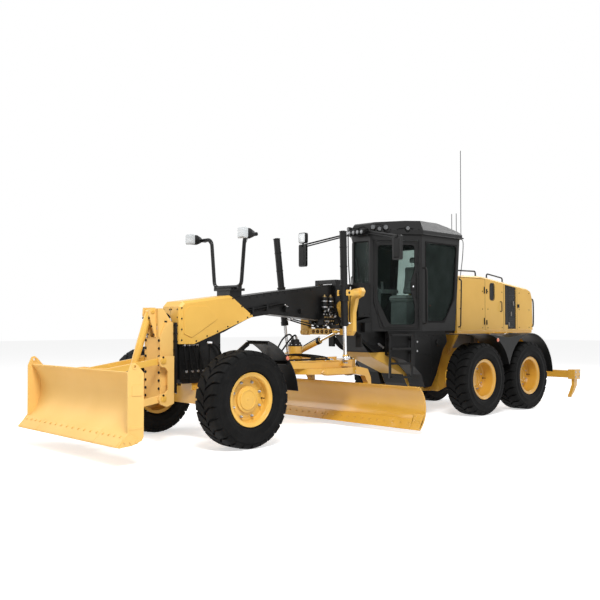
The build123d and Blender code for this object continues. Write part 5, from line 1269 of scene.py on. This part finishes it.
def circle_trim():
    """The ring gear's inner teeth and the arms' bolts."""
    body = "circle"
    count = TEETH * 4
    bm = bmesh.new()
    rows = []
    for z in TEETH_Z:
        row = []
        for i in range(TEETH):
            for share, radius in ((0.0, TIP_R), (0.3, TIP_R), (0.5, ROOT_R), (0.8, ROOT_R)):
                angle = tau * (i + share) / TEETH
                row.append(bm.verts.new(at(radius * cos(angle), CIRCLE_Y / 1000 + radius * sin(angle), z)))
        back = [
            bm.verts.new(
                at(BACK_R * cos(tau * k / count), CIRCLE_Y / 1000 + BACK_R * sin(tau * k / count), z))
            for k in range(count)]
        rows.append((row, back))
    for k in range(count):
        m = (k + 1) % count
        (low, low_back), (high, high_back) = rows
        bm.faces.new((low[k], low[m], high[m], high[k]))
        bm.faces.new((low_back[k], high_back[k], high_back[m], low_back[m]))
        bm.faces.new((high[k], high[m], high_back[m], high_back[k]))
        bm.faces.new((low[k], low_back[k], low_back[m], low[m]))
    piece("circle_teeth", bm, IRON, body)
    # The pins take the darker yellow of the circle, with painted shade.
    rings("circle_arm_pins", body, YELLOW_PAINTED_SHADE, both(
        ((691, 2820, 245), (1, 0, 0), [(46, -1), (46, 6), (30, 9), (26, 14), (0, 14)])), 32)
    bolt_rows("circle_arm_bolts", body, ZINC, both(((691, 2120, 880), (691, 2600, 880), 4, (1, 0, 0), 14)))


# The moldboard's foot and top, the radius of its front face, where its back lies in the middle, and its plate
BLADE_FOOT, BLADE_TOP, BLADE_R, BLADE_BACK, BLADE_THICK = 70, 692, 413, 2735, 25


def blade_curve(z):
    """The moldboard's front face: its y at a height."""
    mid = (BLADE_FOOT + BLADE_TOP) / 2
    return BLADE_BACK - BLADE_THICK - BLADE_R + sqrt(BLADE_R * BLADE_R - (z - mid) ** 2)


def moldboard_trim():
    """Two bolted cutting edges, end bits and their bolts, a top bar and a rail stop at each end."""
    body = "moldboard"
    edges, bits = [], []
    foot, top = 72, 218
    face = [
        (blade_curve(top) + 3, top), (blade_curve(top) - 17, top), (blade_curve(150) - 18, 150),
        (blade_curve(foot) - 16, foot), (blade_curve(foot) + 3, foot)]
    for x0, x1 in ((-1790, -3), (3, 1790)):
        edges.append((face, x0, x1))
    high = 300
    bit = [
        (blade_curve(high) + 3, high), (blade_curve(high) - 17, high), (blade_curve(180) - 19, 180),
        (blade_curve(foot) - 17, foot), (blade_curve(foot) + 3, foot)]
    for x0, x1 in ((-1979, -1796), (1796, 1979)):
        bits.append((bit, x0, x1))
    # All these pieces take the darker yellow of the moldboard, with painted shade.
    plates("cutting_edges", body, YELLOW_PAINTED_SHADE, edges)
    plates("end_bits", body, YELLOW_PAINTED_SHADE, bits)
    y = blade_curve(150) - 18
    rows = [
        ((-1740, y, 150), (-60, y, 150), 12, (0, -1, 0.12), 14),
        ((60, y, 150), (1740, y, 150), 12, (0, -1, 0.12), 14)]
    for side in BOTH:
        for x in (1840, 1930):
            for z in (130, 195, 262):
                rows.append(one((side * x, blade_curve(z) - 17.5, z), (0, -1, 0.3), 14))
    bolt_rows("edge_bolts", body, YELLOW_PAINTED_SHADE, rows)
    tubes("moldboard_top_bar", body, YELLOW_PAINTED_SHADE, [(10, [
        (-1978, blade_curve(690) + 12, 690), (0, blade_curve(690) + 12, 690),
        (1978, blade_curve(690) + 12, 690)])])
    plates("rail_stops", body, YELLOW_PAINTED_SHADE, both(*(
        ([(2700, z - 22), (2700, z + 22), (2760, z + 22), (2760, z - 22)], 1702, 1726) for z in (196, 566))))
    tubes("rail_welds", body, YELLOW_PAINTED_SHADE, [
        (6, [(-1690, 2733, z), (0, 2733, z), (1690, 2733, z)]) for z in (176, 216, 546, 586)])


def shift_trim():
    """Gland and pipe of the centre-shift cylinder."""
    base, eye = (-560, 2520, 1130), (300, 2610, 1490)
    axis = Vector(eye) - Vector(base)
    rings("shift_gland", "shift_barrel", BLACK, [
        (along(base, eye, 556), axis, [(51, -60), (51, -6), (46, 2), (30, 3), (26, 3), (26, -4)]),
        (along(base, eye, 100), axis, [(45, 0), (50, 2), (50, 20), (45, 22)])], 32)
    hoses("shift_pipe", "shift_barrel", [
        (8, beside(base, eye, [(530, 0, 0, 50), (510, 0, 0, 66), (300, 0, 0, 62), (140, 0, 0, 50)]))])


# Cab

CAB_FRONT, CAB_SIDE, CAB_REAR = (205, 3525), (785, 4210), (765, 5340)


def door_place(side, run, z, out):
    """A place on the door's plane: run from the front post, height, and how far it stands out."""
    ax, ay = CAB_FRONT
    bx, by = CAB_SIDE
    length = sqrt((bx - ax) ** 2 + (by - ay) ** 2)
    dx, dy = (bx - ax) / length, (by - ay) / length
    return mm(side * (ax + dx * run + dy * out), ay + dy * run - dx * out, z)


def rounded(points, radius, steps=6):
    """A closed outline with its corners rounded."""
    line = []
    count = len(points)
    for i in range(count):
        here = Vector(points[i])
        back = Vector(points[i - 1]) - here
        ahead = Vector(points[(i + 1) % count]) - here
        reach = min(radius, back.length * 0.45, ahead.length * 0.45)
        a, b = here + back.normalized() * reach, here + ahead.normalized() * reach
        for k in range(steps + 1):
            t = k / steps
            line.append(a * (1 - t) ** 2 + here * 2 * t * (1 - t) + b * t * t)
    return line


def spread(inner, outer, centre):
    """For each place of an inner outline, where the line from the centre through it meets the outer one."""
    centre = Vector(centre)
    met = []
    for spot in inner:
        ray = (spot - centre).normalized()
        best = None
        for i in range(len(outer)):
            a, b = Vector(outer[i]), Vector(outer[(i + 1) % len(outer)])
            edge = b - a
            cross = ray.x * edge.y - ray.y * edge.x
            if abs(cross) < 1e-9:
                continue
            diff = a - centre
            t = (diff.x * edge.y - diff.y * edge.x) / cross
            u = (diff.x * ray.y - diff.y * ray.x) / cross
            if t > 0 and -1e-6 <= u <= 1 + 1e-6 and (best is None or t < best):
                best = t
        met.append(centre + ray * best)
    return met


def band(bm, inner, outer, place, low, high):
    """A flat band between two outlines of the same count, from one height off the surface to another."""
    rows = []
    for line, out in ((inner, low), (inner, high), (outer, high), (outer, low)):
        rows.append([bm.verts.new(place(p.x, p.y, out)) for p in line])
    for a, b in zip(rows, rows[1:] + rows[:1]):
        skin(bm, a, b)


DOOR_PANE = [
    (134, 2966), (126, 2040), (330, 1604), (770, 1604), (768, 1980), (700, 2160), (700, 2350), (768, 2520),
    (768, 2966)]
PANE_CORNER, PANE_MIDDLE = 70, (430, 2300)
DOOR_HOLE = [(118, 2982), (118, 2022), (229, 1587), (779, 1587), (779, 2982)]


def cab_doors():
    """Rounded pane edges with the lock plate's bay, a seal, a handle and a grab bar."""
    inner = rounded(DOOR_PANE, PANE_CORNER)
    outer = spread(inner, DOOR_HOLE, PANE_MIDDLE)
    for name, side in SIDES:
        body = f"door_{name}"
        bm = bmesh.new()
        band(bm, inner, outer, lambda run, z, out, s=side: door_place(s, run, z, out), -14.5, 2)
        piece(f"door_pane_frame_{name}", bm, BLACK, body, bevel=0.002)
        bm = bmesh.new()
        bead = rounded(DOOR_PANE, PANE_CORNER, 4)
        places = [door_place(side, p.x, p.y, -13) for p in bead]
        add_tube(bm, places + [places[0]], 0.006, 8)
        piece(f"door_pane_seal_{name}", bm, HOSE, body)
        bm = bmesh.new()
        add_tube(bm, smooth_path([
            door_place(side, 800, 2050, 0), door_place(side, 800, 2060, 42), door_place(side, 800, 2120, 52),
            door_place(side, 800, 2420, 52), door_place(side, 800, 2480, 42),
            door_place(side, 800, 2490, 0)], 6), 0.010, 10)
        piece(f"door_grab_bar_{name}", bm, BLACK, body)
        bm = bmesh.new()
        corners = [(708, 2190), (708, 2320), (772, 2320), (772, 2190)]
        low = [bm.verts.new(door_place(side, x, z, 1)) for x, z in corners]
        high = [
            bm.verts.new(door_place(side, 740 + (x - 740) * 0.86, 2255 + (z - 2255) * 0.86, 16))
            for x, z in corners]
        bm.faces.new(high)
        skin(bm, low, high)
        piece(f"door_lock_{name}", bm, MATT_BLACK, body, bevel=0.003)
        bm = bmesh.new()
        add_ring(
            bm, [(0.014, 0), (0.014, 0.004), (0.010, 0.006), (0, 0.006)], door_place(side, 740, 2255, 15.5),
            door_place(side, 0, 0, 1) - door_place(side, 0, 0, 0), 20)
        piece(f"door_key_{name}", bm, CHROME, body)


def gasket(bm, outline, place, radius, wide, proud=0.006, inner_lift=-4):
    """A rubber band round a pane: the outline is in two coordinates that place() turns into a spot."""
    centre = sum((Vector(p) for p in outline), Vector((0, 0))) / len(outline)
    inner = rounded([Vector(p) + (centre - Vector(p)).normalized() * wide for p in outline], radius)
    outer = spread(inner, outline, centre)
    band(bm, inner, outer, place, inner_lift, proud * 1000)


def cab_trim():
    """Gaskets, gutters, wipers, roof edge, lamps behind, rails beside the doors and the lower panel seams."""
    body = FRONT
    bm = bmesh.new()
    for low, high in ((2302, 3038), (1642, 2238)):
        gasket(
            bm, [(-168, low), (168, low), (168, high), (-168, high)], lambda a, z, out: mm(a, 3543 - out, z),
            40, 20, 0.004, -1)
    piece("front_gaskets", bm, HOSE, body)
    for name, side in SIDES:
        bm = bmesh.new()

        def wall(y, z, out, s=side):
            """A place on the cab's side, so far out of it."""
            (x0, y0), (x1, y1) = CAB_SIDE, CAB_REAR
            x = x0 + (x1 - x0) * (y - y0) / (y1 - y0)
            return mm(s * (x + out), y, z)

        line = [(4302, 1642), (4858, 1642), (5166, 2050), (5254, 3038), (4302, 3038)]
        gasket(bm, line, wall, 90, 30, 0.005, -14)
        piece(f"side_window_gasket_{name}", bm, HOSE, body)
        bm = bmesh.new()
        for z in (1720, 2960):
            add_bolt(bm, wall(4360, z, 1), (side, 0, 0), 0.008)
        piece(f"side_window_bolts_{name}", bm, MATT_BLACK, body)
        tubes(f"cab_grab_bar_{name}", body, BLACK, [
            (14, [
                (side * 786, 4250, 1620), (side * 832, 4262, 1640), (side * 842, 4268, 1760),
                (side * 842, 4268, 2450), (side * 832, 4262, 2560), (side * 786, 4250, 2580)]),
            (12, [
                (side * 762, 5290, 1560), (side * 806, 5296, 1580), (side * 810, 5300, 1700),
                (side * 812, 5320, 2300), (side * 806, 5322, 2400), (side * 764, 5318, 2420)])])
    bm = bmesh.new()
    gasket(bm, [(-653, 2102), (653, 2102), (653, 3038), (-653, 3038)],
           lambda a, z, out: mm(a, 5190 + 150 * (z - 1490) / 1660 + 1 + out, z), 60, 26, 0.005, -22)
    piece("rear_gasket", bm, HOSE, body)
    wipers = bmesh.new()
    for pivot, tip in (((0, 2278), (-96, 2820)), ((0, 1688), (-70, 2120))):
        a, b = mm(pivot[0], 3512, pivot[1]), mm(tip[0], 3512, tip[1])
        add_ring(wipers, [(0.020, -0.012), (0.020, 0.006), (0.012, 0.012), (0, 0.012)], a, (0, -1, 0), 20)
        middle = a.lerp(b, 0.62)
        add_tube(wipers, smooth_path([
            a + Vector((0, -0.008, 0)), a.lerp(middle, 0.5) + Vector((0, -0.02, 0)),
            middle + Vector((0, -0.012, 0))], 5), 0.005, 8)
        line = (b - a).normalized()
        add_box(wipers, middle - Vector((0.005, 0.008, 0.19)), middle + Vector((0.005, 0.004, 0.19)),
                Matrix.Rotation(atan2(line.x, line.z), 3, "Y"))
    piece("front_wipers", wipers, MATT_BLACK, body)
    plan = [(170, 3490), (816, 4196), (796, 5372)]
    ring = plan + [(-x, y) for x, y in reversed(plan)]
    bm = bmesh.new()
    for (x, y), (nx, ny) in zip(ring, ring[1:]):
        add_tube(bm, [mm(x, y, 3152), mm((x + nx) / 2, (y + ny) / 2, 3152), mm(nx, ny, 3152)], 0.009, 8)
    piece("roof_gutter", bm, MATT_BLACK, body)
    boxes("brow_wiring", body, MATT_BLACK, [
        (-196, 196, 3452, 3489, 3226, 3244), (-10, 10, 3440, 3489, 3236, 3252)])
    for name, side in SIDES:
        rings(f"roof_lamp_body_{name}", body, MATT_BLACK, [(
            (side * 560, 5378, 3185), (0, 1, 0),
            [(0, -2), (26, -2), (40, 20), (42, 60), (40, 64), (0, 64)])], 32)
        lamp_front(f"roof_rear_lamp_{name}", body, (side * 560, 5442, 3185), 40, (0, 1, 0), DIM_LENS)
    boxes("tank_seams", body, MATT_BLACK, both(
        (660, 662.5, 4100, 4106, 1060, 1440), (660, 662.5, 4620, 4626, 760, 1440)), bevel=0)
    bolt_rows("tank_bolts", body, MATT_BLACK, both(
        ((661, 4150, 1410), (661, 4960, 1410), 7, (1, 0, 0), 8),
        ((661, 4660, 820), (661, 4930, 1150), 3, (1, 0, 0), 8)))
    boxes("tank_doors", body, BLACK, both((660, 667, 4160, 4580, 1090, 1370)), bevel=0.005)
    rings("tank_latches", body, ZINC, both(*(
        ((666, 4220, z), (1, 0, 0), [(18, 0), (18, 4), (12, 7), (0, 7)]) for z in (1150, 1310))), 24)
    rings("tank_cap", body, MATT_BLACK, both(
        ((666, 4800, 1290), (1, 0, 0), [(52, -4), (52, 18), (46, 24), (20, 24), (18, 30), (0, 30)])), 40)


LADDER_FRONT, LADDER_BACK = (475, 3690), (705, 4045)


def ladder_trim():
    """Punched treads on the rungs and bolts on the rails."""
    (ax, ay), (bx, by) = LADDER_FRONT, LADDER_BACK
    length = sqrt((bx - ax) ** 2 + (by - ay) ** 2)
    dx, dy = (bx - ax) / length, (by - ay) / length
    for name, side in SIDES:
        bm = bmesh.new()
        for z in (728, 958, 1208, 1440):
            for i in range(13):
                run = 56 + i * (length - 112) / 12
                for across in (-40, 0, 40):
                    spot = mm(side * (ax + dx * run - dy * across), ay + dy * run + dx * across, z)
                    add_ring(bm, [
                        (0.012, -0.001), (0.010, 0.005), (0.006, 0.005),
                        (0.005, -0.001)], spot, (0, 0, 1), 10)
        piece(f"ladder_treads_{name}", bm, BLACK, FRONT)
        bm = bmesh.new()
        for z in (1125, 1355):
            for run in (19, length - 19):
                spot = mm(side * (ax + dx * run + dy * 21), ay + dy * run - dx * 21, z)
                add_bolt(bm, spot, Vector((side * dy, -dx, 0)), 0.010)
        piece(f"ladder_bolts_{name}", bm, MATT_BLACK, FRONT)


MIRROR_X = 1085


def mirror_trim():
    """Glass and backs of the mirrors."""
    body = FRONT
    bm = bmesh.new()
    for side in BOTH:
        x = side * MIRROR_X
        outline = rounded([(x - 80, 2652), (x + 80, 2652), (x + 80, 3028), (x - 80, 3028)], 26)
        add_plate(bm, [mm(p.x, 3206, p.y) for p in outline], Vector((0, 0.003, 0)))
    piece("mirror_glass", bm, CHROME, body)
    bm = bmesh.new()
    for side in BOTH:
        x = side * MIRROR_X
        outline = rounded([(x - 66, 2668), (x + 66, 2668), (x + 66, 3012), (x - 66, 3012)], 30)
        low = [bm.verts.new(mm(p.x, 3158, p.y)) for p in outline]
        high = [bm.verts.new(mm(x + (p.x - x) * 0.8, 3144, 2840 + (p.y - 2840) * 0.9)) for p in outline]
        bm.faces.new(high)
        skin(bm, low, high)
        add_ring(bm, [
            (0.026, -0.004), (0.026, 0.018), (0.018, 0.024), (0, 0.024)], mm(x, 3157, 3012), (0, -1, 0), 20)
    piece("mirror_backs", bm, MATT_BLACK, body, bevel=0.004)


# Rear half

HOOD_HALF = 560
HOOD_TOP, HOOD_BREAK = 2530, 6340


def hood_line(y):
    """Height of the hood's top at a place along it."""
    if y < HOOD_BREAK:
        return HOOD_TOP - 12 * (HOOD_BREAK - y) / 822
    return HOOD_TOP - 195 * (y - HOOD_BREAK) / 1690


def hood_trim():
    """Seams, latches, grilles and rail feet of the hood, and the tail's lamps and rails."""
    body = REAR
    seams, rows, latches, handles = [], [], [], []
    for side in BOTH:
        x = side * HOOD_HALF
        for y in (6465, 7120, 7620):
            seams.append((x - side * 2, x + side * 1.2, y - 3, y + 3, 1496, hood_line(y) - 30))
        seams.append((x - side * 2, x + side * 1.2, 5530, 6465, 2478, 2484))
        for y in (5640, 6380, 6560, 7060, 7700, 8080):
            for z in (1540, 1900, 2240):
                rows.append(one((x, y, z), (side, 0, 0), 8))
        for z in (1600, 2200):
            latches.append((x, x + side * 10, 6500, 6536, z, z + 90))
            latches.append((x, x + side * 14, 6424, 6446, z, z + 130))
        latches.append((x, x + side * 16, 7630, 7690, 1940, 2010))
        handles.append((9, [
            (x, 7000, 1860), (x + side * 34, 7000, 1866), (x + side * 38, 7000, 1900),
            (x + side * 38, 7000, 2010), (x + side * 34, 7000, 2044), (x, 7000, 2050)]))
    for y in (6465, 7620):
        z = hood_line(y)
        seams.append((-532, 532, y - 3, y + 3, z - 1.5, z + 1.2))
    boxes("hood_seams", body, MATT_BLACK, seams, bevel=0)
    bolt_rows("hood_bolts", body, MATT_BLACK, rows)
    boxes("hood_latches", body, MATT_BLACK, latches, bevel=0.004)
    tubes("hood_handles", body, BLACK, handles)
    frames = bmesh.new()
    for side in BOTH:
        def flank(y, z, out, s=side):
            """A place on the hood's side, so far out of it."""
            return mm(s * (HOOD_HALF + out), y, z)
        hole = [(7180, 1610), (7280, 1610), (7280, 1530), (7560, 1530), (7560, 2330), (7180, 2375)]
        centre = Vector((7400, 1950))
        inner = [Vector(p) for p in hole]
        outer = [centre + (p - centre) + (p - centre).normalized() * 16 for p in inner]
        band(frames, inner, outer, flank, -3, 4)
        oval = rounded([(6630, 2080), (6790, 2080), (6790, 2400), (6630, 2400)], 60, 8)
        middle = Vector((6710, 2240))
        band(frames, oval, [p + (p - middle).normalized() * 12 for p in oval], flank, -3, 4)
    piece("grille_frames", frames, BLACK, body, bevel=0.0015)
    slats, spots = [], []
    for side in BOTH:
        x = side * (HOOD_HALF + 1)
        for z in range(1625, 2320, 46):
            slats.append((x - side * 8, x + side * 3, 7290, 7550, z, z + 8))
        spots += [
            (x - side * 8, x + side * 5, 7296 + 84 * k, 7330 + 84 * k, 1560 + 210 * k, 1640 + 214 * k)
            for k in range(3)]
    boxes("grille_slats", body, BLACK, slats, bevel=0.001)
    boxes("grille_tags", body, IRON, spots, bevel=0.003)
    rails = []
    for side in BOTH:
        for y0, y1 in ((5620, 6230), (6610, 7170)):
            for y in (y0, y1):
                rails.append((
                    (side * 500, y, hood_line(y) - 1), (0, 0, 1), [(28, -2), (28, 5), (18, 9), (14.5, 11)]))
    rings("rail_feet", body, BLACK, rails, 24)
    for name, side in SIDES:
        x = side * 500
        boxes(
            f"tail_lamp_frame_{name}", body, MATT_BLACK, [(x - 46, x + 46, 8214, 8243, 1590, 1770)],
            bevel=0.004)
        boxes(f"tail_lamp_red_{name}", body, RED_DOT, [(x - 36, x + 36, 8240, 8250, 1686, 1760)], bevel=0.004)
        boxes(f"tail_lamp_amber_{name}", body, AMBER, [(x - 36, x + 36, 8240, 8250, 1602, 1676)], bevel=0.004)
        tubes(f"tail_handrail_{name}", body, BLACK, [(14, [
            (side * 548, 8190, 1560), (side * 560, 8236, 1575), (side * 562, 8250, 1700),
            (side * 562, 8250, 2000), (side * 556, 8236, 2110), (side * 545, 8176, 2130)])])
    boxes("tail_door_edges", body, YELLOW, [
        (-452, 452, 8206, 8226, 2120, 2140), (-452, 452, 8212, 8232, 1516, 1538),
        (-452, -430, 8208, 8230, 1520, 2138), (430, 452, 8208, 8230, 1520, 2138)])


FENDER_OUTER, FENDER_INNER = 1294, 852


def fender_trim():
    """Rolled edges on the mudguards."""
    spacing, r = 761.5, 800
    first, last = MIDDLE_Y, REAR_Y
    valley = acos(spacing / r)
    for name, side in SIDES:
        outer, inner = side * FENDER_OUTER, side * FENDER_INNER
        arcs = []
        for x in (outer, inner):
            front = [(x, first - 600, 1436)] + [
                (x, first + r * sin(a), HUB_Z + (r - 4) * cos(a))
                for a in [k * (pi / 2 - valley) / 8 for k in range(9)]]
            rear = [
                (x, last - r * sin(a), HUB_Z + (r - 4) * cos(a))
                for a in [(pi / 2 - valley) * (1 - k / 8) for k in range(9)]]
            rear += [
                (x, last + r * sin(a), HUB_Z + (r - 4) * cos(a))
                for a in [radians(87) * k / 10 for k in range(1, 11)]]
            if x == inner:
                arcs += [(7, front), (7, rear)]
            else:
                arcs += [(7, front[:2]), (7, rear[-10:])]
        tubes(f"rear_fender_edges_{name}", REAR, BLACK, arcs, steps=3)
        edge = []
        for x in (outer, inner):
            edge.append((6, [
                (x, -796 * cos(radians(a)), HUB_Z + 796 * sin(radians(a))) for a in range(109, 176, 6)]))
        tubes(f"front_fender_edges_{name}", f"knuckle_{name}", BLACK, edge, steps=3)


def tandem_trim():
    """Bolts, hub plates and covers of the tandem cases."""
    body = REAR
    bm = bmesh.new()
    for side in BOTH:
        for y in (MIDDLE_Y, REAR_Y):
            for i in range(10):
                angle = tau * i / 10
                for x, face in ((821, side), (579, -side)):
                    add_bolt(
                        bm, mm(side * x, y + 150 * cos(angle), HUB_Z + 150 * sin(angle)), (face, 0, 0), 0.013)
        for y in range(5500, 6800, 150):
            for z in (470, 812):
                add_bolt(bm, mm(side * 821, y, z), (side, 0, 0), 0.010)
    piece("tandem_bolts", bm, MATT_BLACK, body)
    rings("tandem_hub_plates", body, BLACK, both(
        *(
            ((819, y, HUB_Z), (1, 0, 0), [(175, -2), (175, 8), (165, 12), (74, 12)])
            for y in (MIDDLE_Y, REAR_Y))))
    boxes("tandem_covers", body, BLACK, both((819, 828, 5640, 6600, 520, 770)), bevel=0.005)


def ripper_trim():
    """Points, bolts, pins and the cylinder's gland and pipe on the ripper."""
    body = "ripper"
    tip = [(8770, 92), (8764, 118), (8850, 220), (8922, 330), (8950, 318), (8880, 190), (8800, 100)]
    # The points and pin caps take the darker yellow of the ripper, with painted shade.
    plates("ripper_points", body, YELLOW_PAINTED_SHADE, [(tip, side * 1075 - 38, side * 1075 + 38) for side in BOTH])
    bolt_rows("ripper_bolts", body, ZINC, both(
        *(one((1151, y, z), (1, 0, 0), 15) for y, z in ((8905, 610), (9065, 610), (8905, 510), (9065, 510))),
        ((400, 9061, 600), (900, 9061, 600), 4, (0, 1, 0), 14)))
    rings("ripper_pin_caps", body, YELLOW_PAINTED_SHADE, both(
        ((301, 8230, 700), (1, 0, 0), [(40, -1), (40, 6), (34, 10), (0, 10)]),
        ((75, 8890, 690), (1, 0, 0), [(32, -1), (32, 5), (24, 9), (0, 9)])), 32)
    top, eye = (0, 8200, 1080), (0, 8890, 690)
    axis = Vector(eye) - Vector(top)
    rings("ripper_gland", "ripper_barrel", BLACK, [
        (along(top, eye, 498), axis, [(52, -60), (52, -6), (46, 2), (28, 3), (25, 3), (25, -4)]),
        (along(top, eye, 30), axis, [(46, 0), (51, 2), (51, 20), (46, 22)])], 32)
    hoses("ripper_pipe", "ripper_barrel", [
        (8, beside(top, eye, [(470, 0, 20, 44), (450, 0, 30, 60), (260, 0, 30, 56), (90, 0, 20, 44)]))])


def axle_trim():
    """Hub caps behind the front wheels and the axle's bolts."""
    body = FRONT
    for name, side in SIDES:
        rings(f"kingpin_cap_{name}", f"knuckle_{name}", ZINC, [
            ((side * 1000, 0, HUB_Z), (side, 0, 0), [(70, 0), (74, 2), (74, 12), (70, 14)])], 32)
    bolt_rows("axle_bolts", body, ZINC, [
        ((x, -91, HUB_Z), (x + 300, -91, HUB_Z), 3, (0, -1, 0), 14) for x in (-600, 300)])


# Seat, made as cloth over a small start shape

WEAVE = 0.012           # side of one cell of the cloth
PUFF = 0.026            # the most that the air lifts it
AIR, CLOTH_FRAMES = 4, 20


def seat_pad(name, low, high, lean=0.0):
    """A crowned cushion from a cloth simulation with air in it; the lean turns it back about its foot."""
    low, high = Vector(low), Vector(high)
    centre = (low + high) / 2
    size = high - low
    bm = bmesh.new()
    made = bmesh.ops.create_cube(bm, size=1)
    bmesh.ops.transform(bm, matrix=Matrix.Diagonal((
        size.x - 0.03, size.y - 0.03, size.z - 0.03, 1)), verts=made["verts"])
    bmesh.ops.bevel(bm, geom=bm.edges[:], offset=0.022, segments=3, affect="EDGES")
    mesh = bpy.data.meshes.new(name)
    bm.to_mesh(mesh)
    bm.free()
    pad = bpy.data.objects.new(name, mesh)
    scene.collection.objects.link(pad)
    remesh = pad.modifiers.new("weave", "REMESH")
    remesh.mode = "VOXEL"
    remesh.voxel_size = WEAVE
    bake(pad)
    start = [v.co.copy() for v in pad.data.vertices]
    cloth = pad.modifiers.new("cloth", "CLOTH")
    cloth.settings.use_pressure = True
    cloth.settings.uniform_pressure_force = AIR
    cloth.settings.effector_weights.gravity = 0
    cloth.point_cache.frame_start = 1
    cloth.point_cache.frame_end = CLOTH_FRAMES
    for step in range(1, CLOTH_FRAMES + 1):
        scene.frame_set(step)
    bake(pad)
    scene.frame_set(1)
    for spot, rest in zip(pad.data.vertices, start):
        move = spot.co - rest
        if move.length > PUFF:
            spot.co = rest + move.normalized() * PUFF
    for spot in pad.data.vertices:
        flat = Vector((spot.co.x / (size.x / 2), spot.co.y / (size.y / 2), spot.co.z / (size.z / 2)))
        for k in range(3):
            flat[k] = max(-1, min(1, flat[k]))
        spot.co = Vector((flat.x * size.x / 2, flat.y * size.y / 2, flat.z * size.z / 2))
    grow = pad.modifiers.new("fine", "SUBSURF")
    grow.levels = grow.render_levels = 1
    bake(pad)
    place = Matrix.Translation(centre) @ Matrix.Rotation(lean, 4, "X")
    pad.data.transform(place)
    for polygon in pad.data.polygons:
        polygon.use_smooth = True
    pad.data.materials.clear()
    pad.data.materials.append(CLOTH)
    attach(pad, "front_chassis")
    return pad


def bake(thing):
    """Applies a thing's modifiers to its mesh."""
    view = bpy.context.evaluated_depsgraph_get()
    made = bpy.data.meshes.new_from_object(thing.evaluated_get(view))
    thing.modifiers.clear()
    thing.data = made


SEAT_Y, SEAT_Z = 4720, 2010


def seat():
    """The seat's three pads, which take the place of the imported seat, its piping and posts."""
    cushion = seat_pad("seat_cushion", mm(-250, SEAT_Y - 250, SEAT_Z), mm(250, SEAT_Y + 245, SEAT_Z + 120))
    seat_pad("seat_back", mm(-230, SEAT_Y + 182, SEAT_Z + 118), mm(230, SEAT_Y + 292, SEAT_Z + 700), -0.136)
    seat_pad("seat_headrest", mm(-130, SEAT_Y + 235, SEAT_Z + 715), mm(130, SEAT_Y + 325, SEAT_Z + 858))
    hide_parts("seat")
    lines = []
    for x in (-120, 0, 120):
        lines.append((2.5, [
            (x, SEAT_Y - 225, SEAT_Z + 121), (x, SEAT_Y, SEAT_Z + 123), (x, SEAT_Y + 140, SEAT_Z + 121)]))
    rim = rounded([(-246, SEAT_Y - 246), (246, SEAT_Y - 246), (246, SEAT_Y + 240), (-246, SEAT_Y + 240)], 40)
    bm = bmesh.new()
    spots = [mm(p.x, p.y, SEAT_Z + 62) for p in rim]
    add_tube(bm, spots + [spots[0]], 0.005, 8)
    piece("seat_piping", bm, HOSE, FRONT)
    tubes("seat_channels", FRONT, HOSE, lines)
    tubes("headrest_posts", FRONT, CHROME, [
        (7, [
            (x, SEAT_Y + 285, SEAT_Z + 660), (x, SEAT_Y + 282, SEAT_Z + 690),
            (x, SEAT_Y + 280, SEAT_Z + 730)]) for x in (-60, 60)])


camera()
world()
floor()
for light in LIGHTS:
    area_light(*light)
finish_nodes()
tyres()
for place in ("front", "middle", "rear"):
    for side_name, side in SIDES:
        wheel_trim(place, side_name, side)
front_blade_trim()
mast_trim()
nose_trim()
boom_trim()
lamp_post_trim()
lamps()
lift_trim()
drawbar_trim()
circle_trim()
moldboard_trim()
shift_trim()
cab_doors()
cab_trim()
ladder_trim()
mirror_trim()
hood_trim()
fender_trim()
tandem_trim()
ripper_trim()
axle_trim()
seat()
tail_trim()
brow_trim()
cluster_trim()
door_beads()
reflectors()
